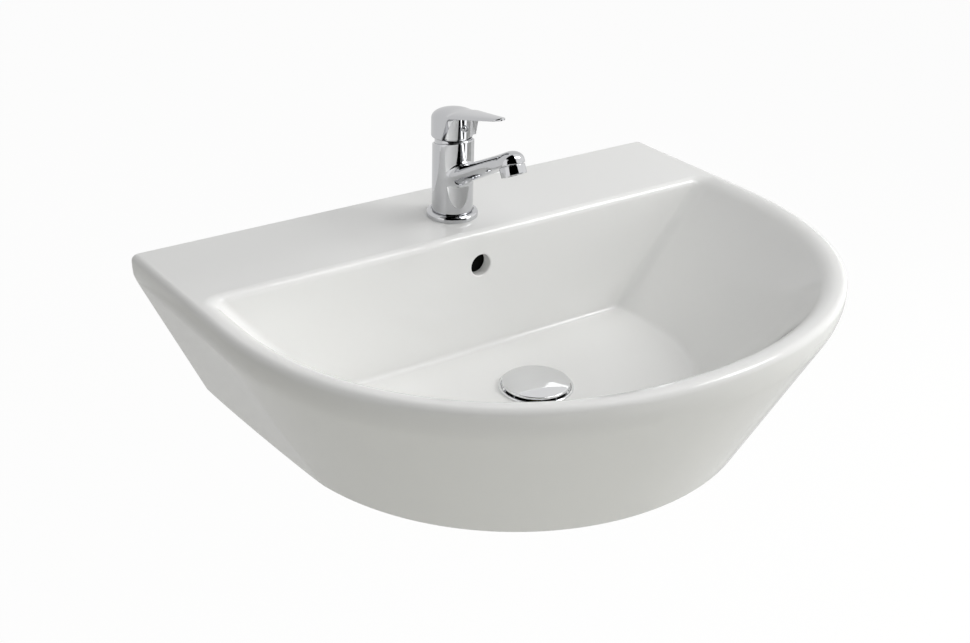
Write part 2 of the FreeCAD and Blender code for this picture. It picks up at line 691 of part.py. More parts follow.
def waterway():
    """Bore of the spout, from the outlet port up to the chamber in the head."""
    reach = at(0, OUTLET_FRONT - SPOUT_LENGTH, BORE_LIFT)
    start = at(0, TAP_Y - OUTLET_FRONT, SPOUT_Z)
    return raised(Part.makeCylinder(SPOUT_BORE / 2, reach.Length, start, reach))


def make_spout():
    """Oval tube blended into the column it is brazed to, with its head and waterway."""
    column = tap_column()
    spout = column.fuse(spout_tube()).removeSplitter()
    root = [edge for edge in spout.Edges
            if edge.BoundBox.YMax < TAP_Y - TAP_BODY / 4
            and edge.BoundBox.YMin > TAP_Y - TAP_BODY / 2 - TOLERANCE
            and edge.BoundBox.ZMin > BASE_TOP_Z + TOLERANCE]
    spout = spout.makeFillet(SPOUT_BLEND, root).cut(column)
    spout = spout.fuse(spout_head()).removeSplitter()
    cuts = [
        raised(rod(HEAD, HEAD_END_Z - AERATOR_LENGTH, HEAD_END_Z, HEAD_Y)),
        raised(rod(AERATOR_THREAD + 2 * THREAD_CLEAR, HEAD_END_Z - OVERRUN, SOCKET_Z, HEAD_Y)),
        raised(rod(CHAMBER, SOCKET_Z - OVERRUN, SPOUT_Z + CHAMBER_RISE, HEAD_Y)),
        waterway(),
    ]
    for cutter in cuts:
        spout = spout.cut(cutter)
    return spout


def make_tap_body():
    """Upright body with the seat for the cartridge, the inlets and the outlet port."""
    top = RIM_Z + TAP_BODY_TOP
    body = tap_column()
    clear = 2 * CARTRIDGE_CLEAR
    cuts = [
        rod(CARTRIDGE + clear, SEAT_Z, top + TAP_BODY, TAP_Y),
        rod(CLAMP_NUT + clear, RIM_Z + SHOULDER_Z, top + TAP_BODY, TAP_Y),
        rod(DOME_SOCKET, RIM_Z + DOME_LEDGE_Z, top + TAP_BODY, TAP_Y),
        rod(OUTLET_PORT, SPOUT_Z, SEAT_Z + OVERRUN, TAP_Y - OUTLET_FRONT),
        rod(STUD + 2 * STUD_CLEAR, BASE_TOP_Z - OVERRUN, BASE_TOP_Z + STUD_DEPTH,
            TAP_Y + STUD_BACK),
        waterway(),
    ]
    for side in (-1, 1):
        place = side * INLET_ASIDE
        cuts.append(rod(INLET_THREAD, BASE_TOP_Z - OVERRUN, SEAT_Z + OVERRUN,
                        TAP_Y + INLET_BACK, place))
    for cutter in cuts:
        body = body.cut(cutter)
    return body


def make_aerator_housing():
    """Outlet ring with a threaded neck and a step that stops the insert."""
    end = HEAD_END_Z - AERATOR_LENGTH
    outer = AERATOR / 2
    inner = outer - AERATOR_WALL
    step = HEAD_END_Z - AERATOR_STEP
    neck = HEAD_END_Z + AERATOR_THREAD_LENGTH
    housing = turned([
        (inner, end), (outer - AERATOR_EDGE, end), (outer, end + AERATOR_EDGE),
        (outer, HEAD_END_Z), (AERATOR_THREAD / 2, HEAD_END_Z), (AERATOR_THREAD / 2, neck),
        (AERATOR_THROAT / 2, neck), (AERATOR_THROAT / 2, step), (inner, step),
    ], HEAD_Y)
    return raised(housing)


def make_aerator_insert():
    """Cup with a ring of small holes and one in the middle."""
    width = AERATOR - 2 * AERATOR_WALL - 2 * INSERT_CLEAR
    low = HEAD_END_Z - AERATOR_LENGTH + INSERT_SET_BACK
    step = HEAD_END_Z - AERATOR_STEP
    insert = rod(width, low, step, HEAD_Y)
    insert = insert.cut(rod(width - 2 * INSERT_RIM, low + INSERT_FLOOR, step + OVERRUN, HEAD_Y))
    hole = rod(INSERT_HOLE, low - OVERRUN, step, HEAD_Y + INSERT_RING / 2)
    middle = rod(INSERT_HOLE, low - OVERRUN, step, HEAD_Y)
    for cutter in around(hole, INSERT_HOLE_COUNT, HEAD_Y) + [middle]:
        insert = insert.cut(cutter)
    return raised(insert)


def make_aerator_washer():
    return raised(pipe(AERATOR_THREAD, AERATOR_THROAT, SOCKET_Z - AERATOR_SEAL, SOCKET_Z, HEAD_Y))


def make_cartridge_housing():
    """Cup that is open below, with the shoulder that its nut presses on."""
    foot = SEAT_Z + CARTRIDGE_FOOT_GAP
    shoulder = RIM_Z + SHOULDER_Z
    top = RIM_Z + CARTRIDGE_TOP_Z
    outer = CARTRIDGE / 2
    return turned([
        (CARTRIDGE_INNER, foot), (outer, foot), (outer, shoulder), (SHOULDER / 2, shoulder),
        (SHOULDER / 2, shoulder + SHOULDER_THICK), (outer, shoulder + SHOULDER_THICK),
        (outer, top), (CARTRIDGE_MOUTH / 2, top), (CARTRIDGE_MOUTH / 2, top - CARTRIDGE_TOP),
        (CARTRIDGE_INNER, top - CARTRIDGE_TOP),
    ], TAP_Y)


def make_cartridge_nut():
    low = RIM_Z + SHOULDER_Z + SHOULDER_THICK
    return pipe(CLAMP_NUT, CARTRIDGE + 2 * CARTRIDGE_CLEAR, low, low + CLAMP_NUT_THICK, TAP_Y)


def make_cartridge_dome():
    """Shell of a ball about the lever's pivot, on a short skirt in the body's socket."""
    ledge = RIM_Z + DOME_LEDGE_Z
    shell = ball(DOME, TAP_Y, PIVOT).cut(ball(DOME - 2 * DOME_SKIN, TAP_Y, PIVOT))
    shell = shell.common(rod(DOME_SOCKET, ledge, PIVOT + DOME, TAP_Y))
    shell = shell.cut(rod(DOME_MOUTH, ledge, PIVOT + DOME, TAP_Y))
    skirt = pipe(DOME_SOCKET - 2 * THREAD_CLEAR, DOME - 2 * DOME_SKIN, ledge, ledge + DOME_SKIRT, TAP_Y)
    skirt = skirt.cut(ball(DOME - DOME_SKIN, TAP_Y, PIVOT))
    return shell.fuse(skirt).removeSplitter()


def ported(disc, low, high):
    """A disc with its two inlets and its outlet bored through."""
    cuts = [rod(OUTLET_PORT, low - OVERRUN, high + OVERRUN, TAP_Y - OUTLET_FRONT)]
    for side in (-1, 1):
        cuts.append(rod(INLET_PORT, low - OVERRUN, high + OVERRUN, TAP_Y + INLET_BACK,
                        side * INLET_ASIDE))
    for cutter in cuts:
        disc = disc.cut(cutter)
    return disc


def make_disc_seal():
    return ported(rod(FIXED_DISC, SEAT_Z, FIXED_DISC_Z, TAP_Y), SEAT_Z, FIXED_DISC_Z)


def make_fixed_disc():
    top = FIXED_DISC_Z + DISC_THICK
    return ported(rod(FIXED_DISC, FIXED_DISC_Z, top, TAP_Y), FIXED_DISC_Z, top)


def make_moving_disc():
    top = MOVING_DISC_Z + DISC_THICK
    disc = rod(MOVING_DISC, MOVING_DISC_Z, top, TAP_Y)
    return disc.cut(rod(POCKET, top - POCKET_DEPTH, top + OVERRUN, TAP_Y))


def cross_bore(width, length):
    """Level cylinder along X through the lever's pivot."""
    return Part.makeCylinder(width / 2, length, at(-length / 2, TAP_Y, PIVOT), ACROSS)


def make_spindle_carrier():
    """Drum that turns in the cartridge, slotted for the spindle and bored for its pin."""
    top = RIM_Z + CARTRIDGE_TOP_Z - CARTRIDGE_TOP - CARRIER_TOP_GAP
    drum = rod(2 * (CARTRIDGE_INNER - CARRIER_CLEAR), CARRIER_Z, top, TAP_Y)
    half = SPINDLE / 2 + SPINDLE_CLEAR
    slot = block(-half, half, TAP_Y - CARRIER_SLOT_LENGTH / 2, TAP_Y + CARRIER_SLOT_LENGTH / 2,
                 CARRIER_Z - OVERRUN, top + OVERRUN)
    return drum.cut(slot).cut(cross_bore(PIVOT_PIN, PIVOT_PIN_LENGTH))


def make_pivot_pin():
    return cross_bore(PIVOT_PIN, PIVOT_PIN_LENGTH)


def make_spindle():
    """Square bar for the lever above a round arm that reaches into the moving disc."""
    half = SPINDLE / 2
    neck = RIM_Z + SPINDLE_NECK_Z
    bar = block(-half, half, TAP_Y - half, TAP_Y + half, neck, RIM_Z + SPINDLE_TOP_Z)
    end = MOVING_DISC_Z + DISC_THICK - POCKET_DEPTH + SPINDLE_ARM_END
    arm = rod(SPINDLE_ARM, end, neck + OVERRUN, TAP_Y)
    bar = bar.fuse(arm).removeSplitter()
    return bar.cut(cross_bore(PIVOT_PIN + 2 * PIN_CLEAR, PIVOT_PIN_LENGTH))


def lever_plan():
    """Outline of the lever from above, run up: the round hood drawn in to the round tip."""
    hood = HOOD / 2
    tip = BLADE_TIP / 2
    tip_y = TAP_Y - BLADE_REACH + tip
    low = RIM_Z + HOOD_BASE_Z

    def touch(side, radius, y):
        return at(side * radius * math.cos(LEVER_LEAN), y - radius * math.sin(LEVER_LEAN), low)

    wire = Part.Wire([
        arc(touch(-1, hood, TAP_Y), at(0, TAP_Y + hood, low), touch(1, hood, TAP_Y)),
        Part.makeLine(touch(1, hood, TAP_Y), touch(1, tip, tip_y)),
        arc(touch(1, tip, tip_y), at(0, tip_y - tip, low), touch(-1, tip, tip_y)),
        Part.makeLine(touch(-1, tip, tip_y), touch(-1, hood, TAP_Y)),
    ])
    return Part.Face(wire).extrude(at(0, 0, BLADE_TIP_TOP_Z - HOOD_BASE_Z + OVERRUN))


def roof_half(ahead):
    """Half width of the lever's roof, which runs past the walls by the eave."""
    return HOOD / 2 / math.cos(LEVER_LEAN) - ahead * math.tan(LEVER_LEAN) + HOOD_EAVE


def roof_oval(half, y, shoulder, top):
    """Oval whose upper half is a section of the lever's roof."""
    edge = RIM_Z + shoulder
    return Part.Ellipse(at(half, y, edge), at(0, y, RIM_Z + top), at(0, y, edge))


def roof_section(ahead, shoulder, top):
    """Section across the lever's roof: flat base, upright sides and an oval top."""
    y = TAP_Y - ahead
    half = roof_half(ahead)
    low = RIM_Z + HOOD_BASE_Z
    edge = RIM_Z + shoulder
    sides = run([at(-half, y, edge), at(-half, y, low), at(half, y, low), at(half, y, edge)])
    oval_top = Part.ArcOfEllipse(roof_oval(half, y, shoulder, top), 0, math.pi)
    return Part.Wire([oval_top.toShape()] + sides)


def lever_back():
    """Back half of the hood: wall and roof turned half way round the tap's axis."""
    hood = HOOD / 2
    low = RIM_Z + HOOD_BASE_Z
    half = roof_half(0)
    turn = math.acos(hood / half)
    dome = Part.ArcOfEllipse(roof_oval(half, TAP_Y, HOOD_SHOULDER_Z, HOOD_CREST_Z), turn, math.pi / 2)
    crest = at(0, TAP_Y, RIM_Z + HOOD_CREST_Z)
    sides = run([crest, at(0, TAP_Y, low), at(hood, TAP_Y, low), dome.StartPoint])
    face = Part.Face(Part.Wire([dome.toShape()] + sides))
    return face.revolve(at(0, TAP_Y, 0), UP, FULL_TURN / 2)


def lever_front():
    """Front half of the roof, from the middle of the hood to the tip, thinner to the front."""
    root = BLADE_ROUND_SHARE * (BLADE_ROOT_Z - HOOD_WINDOW_Z)
    tip = BLADE_ROUND_SHARE * (BLADE_TIP_TOP_Z - BLADE_TIP_UNDER_Z)
    return Part.makeLoft([
        roof_section(0, HOOD_SHOULDER_Z, HOOD_CREST_Z),
        roof_section(HOOD_WINDOW_HEAD, BLADE_ROOT_Z - root, BLADE_ROOT_Z),
        roof_section(BLADE_REACH, BLADE_TIP_TOP_Z - tip, BLADE_TIP_TOP_Z),
    ], True, True)


def lever_window():
    """Space in front of the hood and under the blade, run across, round where the two meet."""
    reach = TAP_Y - BLADE_REACH - OVERRUN
    base = RIM_Z + HOOD_BASE_Z - OVERRUN
    space = polygon([
        at(-HOOD, TAP_Y - HOOD_WINDOW_FOOT, base),
        at(-HOOD, TAP_Y - HOOD_WINDOW_FOOT, RIM_Z + HOOD_BASE_Z),
        at(-HOOD, TAP_Y - HOOD_WINDOW_HEAD, RIM_Z + HOOD_WINDOW_Z),
        at(-HOOD, reach, RIM_Z + BLADE_TIP_UNDER_Z),
        at(-HOOD, reach, base),
    ]).extrude(at(2 * HOOD, 0, 0))
    return space.makeFillet(HOOD_WINDOW_ROUND, level_edges(space, RIM_Z + HOOD_WINDOW_Z))


def make_lever_handle():
    """Domed hood with a blade running forward and a hub set back in its front."""
    front = lever_front()
    lever = lever_back().fuse(front.common(lever_plan())).removeSplitter()
    lever = lever.cut(lever_window())
    hub = rod(HUB, RIM_Z + HUB_BASE_Z, RIM_Z + HOOD_WINDOW_Z + OVERRUN, TAP_Y).common(front)
    collar = rod(HUB_COLLAR, PIVOT, RIM_Z + HUB_BASE_Z + OVERRUN, TAP_Y)
    collar = collar.common(block(-HUB, HUB, TAP_Y - HUB, TAP_Y, RIM_Z, RIM_Z + BLADE_TIP_TOP_Z))
    lever = lever.fuse(hub).fuse(collar).removeSplitter()
    lever = lever.cut(ball(DOME + 2 * DOME_CLEAR, TAP_Y, PIVOT))
    half = SPINDLE / 2 + SOCKET_CLEAR
    socket = block(-half, half, TAP_Y - half, TAP_Y + half, RIM_Z + HOOD_BASE_Z - OVERRUN,
                   RIM_Z + SPINDLE_TOP_Z + SOCKET_TOP_CLEAR)
    level = RIM_Z + INDEX_Z
    screw = bore(GRUB_SCREW + 2 * THREAD_CLEAR, HUB_FRONT_Y, TAP_Y, level)
    plug = bore(INDEX_PLUG + 2 * INDEX_CLEAR, HUB_FRONT_Y - OVERRUN, HUB_FRONT_Y + INDEX_DEPTH, level)
    return lever.cut(socket).cut(screw).cut(plug)


def make_index_plug():
    return bore(INDEX_PLUG, HUB_FRONT_Y - INDEX_PROUD, HUB_FRONT_Y + INDEX_DEPTH, RIM_Z + INDEX_Z)


def make_grub_screw():
    """Headless screw that presses on the spindle, with a key socket in its front."""
    back = TAP_Y - SPINDLE / 2
    front = back - GRUB_LENGTH
    level = RIM_Z + INDEX_Z
    key = bore(GRUB_KEY, front - OVERRUN, front + GRUB_KEY_DEPTH, level)
    return bore(GRUB_SCREW, front, back, level).cut(key)


def make_fixing_stud():
    return rod(STUD, RIM_Z - STUD_DROP, BASE_TOP_Z + STUD_DEPTH, TAP_Y + STUD_BACK)


def horseshoe(low, high):
    """Round plate open to the front for the pipes, with a hole for the stud."""
    web = TAP_Y + STUD_BACK - STUD / 2 - STUD_CLEAR - HORSESHOE_WEB
    plate = rod(HORSESHOE, low, high, TAP_Y)
    gap = block(-HORSESHOE_GAP / 2, HORSESHOE_GAP / 2, TAP_Y - HORSESHOE, web,
                low - OVERRUN, high + OVERRUN)
    hole = rod(STUD + 2 * STUD_CLEAR, low - OVERRUN, high + OVERRUN, TAP_Y + STUD_BACK)
    return plate.cut(gap).cut(hole)


def make_horseshoe_gasket():
    return horseshoe(DECK_UNDER_Z - HORSESHOE_SEAL, DECK_UNDER_Z)


def make_horseshoe_washer():
    high = DECK_UNDER_Z - HORSESHOE_SEAL
    return horseshoe(high - HORSESHOE_PLATE, high)


def make_fixing_nut():
    high = DECK_UNDER_Z - HORSESHOE_SEAL - HORSESHOE_PLATE
    low = high - STUD_NUT
    nut = hexagon(STUD_NUT_ACROSS, low, high, TAP_Y + STUD_BACK)
    return nut.cut(rod(STUD + 2 * STUD_CLEAR, low - OVERRUN, high + OVERRUN, TAP_Y + STUD_BACK))


PIECES = {
    "basin": make_basin,
    "waste_body": make_waste_body,
    "flange_gasket": make_flange_gasket,
    "waste_cap": make_waste_cap,
    "cap_seal": make_cap_seal,
    "plug_stem": make_plug_stem,
    "click_guide": make_click_guide,
    "click_spring": make_click_spring,
    "lower_gasket": make_lower_gasket,
    "backnut": make_backnut,
    "base_ring": make_base_ring,
    "base_gasket": make_base_gasket,
    "tap_body": make_tap_body,
    "spout": make_spout,
    "aerator_housing": make_aerator_housing,
    "aerator_insert": make_aerator_insert,
    "aerator_washer": make_aerator_washer,
    "cartridge_housing": make_cartridge_housing,
    "cartridge_nut": make_cartridge_nut,
    "cartridge_dome": make_cartridge_dome,
    "disc_seal": make_disc_seal,
    "fixed_disc": make_fixed_disc,
    "moving_disc": make_moving_disc,
    "spindle_carrier": make_spindle_carrier,
    "pivot_pin": make_pivot_pin,
    "spindle": make_spindle,
    "lever_handle": make_lever_handle,
    "index_plug": make_index_plug,
    "grub_screw": make_grub_screw,
    "fixing_stud": make_fixing_stud,
    "horseshoe_gasket": make_horseshoe_gasket,
    "horseshoe_washer": make_horseshoe_washer,
    "fixing_nut": make_fixing_nut,
}


def main():
    os.makedirs("parts", exist_ok=True)
    for name, make in PIECES.items():
        shape = make()
        solids = shape.Solids
        result = solids[0] if len(solids) == 1 else Part.makeCompound(solids)
        result.exportStep("parts/" + name + ".step")
        print(name, len(solids), round(result.Volume), result.isValid())


main()
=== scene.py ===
"""Looks of a wall-hung basin: glazed shell, chrome mixer tap, push-open waste and a studio."""

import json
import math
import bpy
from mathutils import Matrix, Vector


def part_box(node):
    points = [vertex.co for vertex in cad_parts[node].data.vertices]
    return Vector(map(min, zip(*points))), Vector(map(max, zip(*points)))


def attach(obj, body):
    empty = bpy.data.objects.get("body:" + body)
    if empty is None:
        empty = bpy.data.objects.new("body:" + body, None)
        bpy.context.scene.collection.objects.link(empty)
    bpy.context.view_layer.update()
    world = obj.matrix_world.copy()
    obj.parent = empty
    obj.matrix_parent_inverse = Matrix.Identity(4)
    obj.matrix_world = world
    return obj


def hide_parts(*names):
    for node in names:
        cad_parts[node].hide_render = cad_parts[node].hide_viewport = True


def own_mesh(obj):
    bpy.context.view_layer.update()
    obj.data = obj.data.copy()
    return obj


bl_info = {
    "name": "Wall-hung basin",
    "version": (1, 0, 0),
    "blender": (4, 5, 0),
    "location": "View3D > Sidebar > Basin",
    "description": "Builds the glazed basin, its mixer tap and its waste round the packed solids",
    "category": "Object",
}

import bmesh
import bpy
import numpy as np
from mathutils import Matrix, Vector

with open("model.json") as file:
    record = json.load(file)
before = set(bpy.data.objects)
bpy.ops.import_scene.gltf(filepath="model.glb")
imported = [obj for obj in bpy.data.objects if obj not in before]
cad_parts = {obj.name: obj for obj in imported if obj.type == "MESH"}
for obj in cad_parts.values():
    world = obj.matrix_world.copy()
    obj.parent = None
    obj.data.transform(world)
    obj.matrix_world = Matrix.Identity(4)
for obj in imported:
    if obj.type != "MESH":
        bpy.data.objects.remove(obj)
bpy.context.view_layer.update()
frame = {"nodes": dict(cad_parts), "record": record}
BASIN_LOW, BASIN_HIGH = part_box("basin")
FLANGE_LOW, FLANGE_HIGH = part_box("waste_body")
CAP_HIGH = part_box("waste_cap")[1]
RING_LOW, RING_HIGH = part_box("base_ring")
TAP_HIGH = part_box("tap_body")[1]
LEVER_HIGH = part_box("lever_handle")[1]

DECK_Z = BASIN_HIGH.z
TAP_Y = (RING_LOW.y + RING_HIGH.y) / 2
WASTE_Y = (FLANGE_LOW.y + FLANGE_HIGH.y) / 2

# Points along each stretch of a plan outline
SIDE_STEPS = 22
NOSE_STEPS = 72
CORNER_STEPS = 10
BACK_STEPS = 60
# Rows of points over each strip of the shell
ROWS = {"floor": 13, "fillet": 11, "bowl": 22, "deck": 8, "rim": 10, "band": 4,
        "band_round": 9, "outside": 26, "foot_round": 8, "inside": 12, "short": 4}
# Rows along the spout and along the lever, and points over each part of the lever's section
SPOUT_ROWS = {"root": 13, "tube": 44, "nose": 22}
LEVER_ROWS = {"back": 29, "hood": 10, "window": 14, "blade": 30, "tip": 18}
LEVER_POINTS = {"base": 17, "corner": 6, "side": 13, "top": 40}
# Points round a turned piece and a finer one, over an arc of a profile and over a small one
ROUND_STEPS = 96
FINE_STEPS = 128
ARC_STEPS = 24
EDGE_STEPS = 9
# Points along one turn of a coil and round its wire
COIL_STEPS = 48
WIRE_STEPS = 16
# How far a cutter stands out of what it cuts
OVERRUN = 0.004
# Smallest difference that counts between two lengths
TINY = 1e-6
WHITE = (1.0, 1.0, 1.0, 1.0)


def length(name, description, default):
    """A size in metres that a user may change."""
    return bpy.props.FloatProperty(name=name, description=description, default=default,
                                   min=0.0, precision=5, unit="LENGTH")


def angle(name, description, degrees):
    """An angle that a user may change, given in degrees."""
    return bpy.props.FloatProperty(name=name, description=description,
                                   default=math.radians(degrees), subtype="ANGLE")


def share(name, description, default):
    """A plain factor that a user may change."""
    return bpy.props.FloatProperty(name=name, description=description, default=default,
                                   min=0.0, subtype="FACTOR")


def power(name, description, default):
    """A lamp's power in watts that a user may change."""
    return bpy.props.FloatProperty(name=name, description=description, default=default,
                                   min=0.0, unit="POWER")


def colour(name, description, default):
    """A colour that a user may change."""
    return bpy.props.FloatVectorProperty(name=name, description=description, default=default,
                                         min=0.0, max=1.0, size=3, subtype="COLOR")


class BasinSizes(bpy.types.PropertyGroup):
    """Sizes of the glazed shell."""

    half_width: length("Half width", "From the middle to the side of the rim", BASIN_HIGH.x)
    depth: length("Depth", "From the wall to the front of the rim", -BASIN_LOW.y)
    side: length("Straight side", "Straight part of each side of the rim", 0.170)
    fullness: share("Fullness", "How full the rounded front is", 0.61)
    band: length("Band", "Upright band under the rim", 0.020)
    lip: length("Lip", "Width of the rim round the bowl", 0.017)
    rim_round: length("Rim round", "Radius of the rim's outer edge", 0.006)
    band_round: length("Band round", "Radius where the band meets the leaning wall", 0.050)
    foot_round: length("Foot round", "Radius of the foot's edge", 0.003)
    mouth_round: length("Mouth round", "Radius of the bowl's edge at the sides and front", 0.020)
    deck_round: length("Deck round", "Radius of the deck's front edge", 0.008)
    floor_round: length("Floor round", "Radius where the back wall meets the floor", 0.0055)
    floor_side_round: length("Floor side round", "Radius where the side walls meet the floor", 0.009)
    bowl_corner: length("Bowl corner", "Radius of the bowl's back corners", 0.013)
    deck_depth: length("Deck depth", "From the wall to the bowl's back wall", 0.1225)
    floor_lift: length("Floor lift", "Bowl floor above the foot", 0.034)
    foot_draw: length("Foot draw", "How far the foot stands in at the sides", 0.065)
    foot_front_draw: length("Foot front draw", "How far the foot stands in at the front", 0.064)
    foot_side: length("Foot side", "Side of the foot, from the wall", 0.212)
    foot_taper: length("Foot taper", "Narrowing along the foot's side", 0.010)
    foot_turn: angle("Foot turn", "How sharply the foot's side turns into its front", 11.0)
    foot_fullness: share("Foot fullness", "How full the foot is behind its front", 0.60)
    foot_nose: share("Foot nose", "How full the foot's front is", 0.49)
    bowl_draw: length("Bowl draw", "How far the floor stands in from the mouth at the sides", 0.105)
    bowl_front_draw: length("Bowl front draw", "How far the floor stands in at the front", 0.101)
    floor_side: length("Floor side", "Side of the floor, from the wall", 0.185)
    floor_fullness: share("Floor fullness", "How full the floor's rounded front is", 0.56)
    shell: length("Shell", "Thickness of the ceramic walls", 0.011)
    deck_thick: length("Deck thickness", "Thickness of the ceramic deck", 0.012)
    back_plate: length("Back plate", "Thickness of the plate at the wall", 0.014)
    back_edge: length("Back edge", "Radius of the upright edges at the wall", 0.002)
    overflow_drop: length("Overflow drop", "Centre of the overflow hole below the rim", 0.035)
    overflow_width: length("Overflow width", "Diameter of the overflow hole", 0.0215)
    overflow_round: length("Overflow round", "Radius of the overflow hole's edge", 0.0016)
    tap_hole: length("Tap hole", "Diameter of the hole under the tap", 0.035)
    waste_rebate: length("Waste rebate", "Diameter of the recess for the flange", 0.069)
    waste_hole: length("Waste hole", "Diameter of the hole for the tail", 0.046)
    waste_boss: length("Waste boss", "Diameter of the boss round the tail", 0.088)
    rebate_depth: length("Rebate depth", "Depth of the recess for the flange", 0.008)
    duct_width: length("Duct width", "Width of the overflow duct inside", 0.040)
    duct_depth: length("Duct depth", "Depth of the overflow duct inside", 0.010)
    duct_wall: length("Duct wall", "Thickness of the duct's walls", 0.007)
    duct_head: length("Duct head", "Top of the duct above the overflow's centre", 0.015)
    duct_rise: length("Duct rise", "Height of the channel under the floor", 0.011)
    duct_end: length("Duct end", "From the waste hole to the channel's end", 0.002)
    gap_width: length("Service gap", "Width of the opening in the back plate", 0.210)
    gap_rise: length("Service gap rise", "Height of the opening in the back plate", 0.066)
    fixing_spacing: length("Fixing spacing", "Distance between the wall fixings", 0.280)
    fixing_hole: length("Fixing hole", "Diameter of the holes for the wall studs", 0.014)


class WasteSizes(bpy.types.PropertyGroup):
    """Sizes of the flange with its tail, the cap and the spring."""

    lip: length("Flange lip", "Width of the flange's lip", 0.0028)
    cup_wall: length("Cup wall", "Thickness of the cup's wall", 0.0014)
    cup_drop: length("Cup drop", "Underside of the cup below the bowl's floor", 0.0065)
    cup_floor: length("Cup floor", "Thickness of the cup's floor", 0.0020)
    tail_radius: length("Tail radius", "Radius of the threaded tail", 0.02095)
    bore_radius: length("Bore radius", "Radius of the tail's bore", 0.0186)
    ledge_drop: length("Ledge drop", "Ledge in the bore below the basin's foot", 0.0020)
    ledge_width: length("Ledge width", "How far the ledge stands in", 0.0012)
    groove_low: length("Groove low", "Lower side of the tail's groove above its end", 0.030)
    groove_high: length("Groove high", "Upper side of the tail's groove above its end", 0.032)
    groove_depth: length("Groove depth", "Depth of the tail's groove", 0.001)
    slot_width: length("Slot width", "Width of the overflow slots in the tail", 0.012)
    slot_low: length("Slot low", "Lower side of the slots above the basin's foot", 0.007)
    slot_high: length("Slot high", "Upper side of the slots above the basin's foot", 0.018)
    crown: length("Crown", "Rise of the cap's dome", 0.0026)
    cap_edge: length("Cap edge", "Radius of the cap's edge", 0.0011)
    cap_wall: length("Cap wall", "Thickness of the cap", 0.0016)
    cap_skirt: length("Cap skirt", "Lower edge of the cap below its dome", 0.0022)
    rib_outer: length("Rib outside", "Outer radius of the rib under the cap", 0.021)
    rib_inner: length("Rib inside", "Inner radius of the rib under the cap", 0.0195)
    rib_drop: length("Rib drop", "Height of the rib under the cap", 0.0015)
    socket_outer: length("Socket outside", "Outer radius of the stem's socket", 0.0085)
    socket_bore: length("Socket bore", "Inner radius of the stem's socket", 0.0054)
    socket_drop: length("Socket drop", "Height of the stem's socket", 0.008)
    wire: length("Wire", "Diameter of the spring's wire", 0.0009)
    turns: bpy.props.IntProperty(name="Turns", description="Turns of the spring", default=3, min=1)


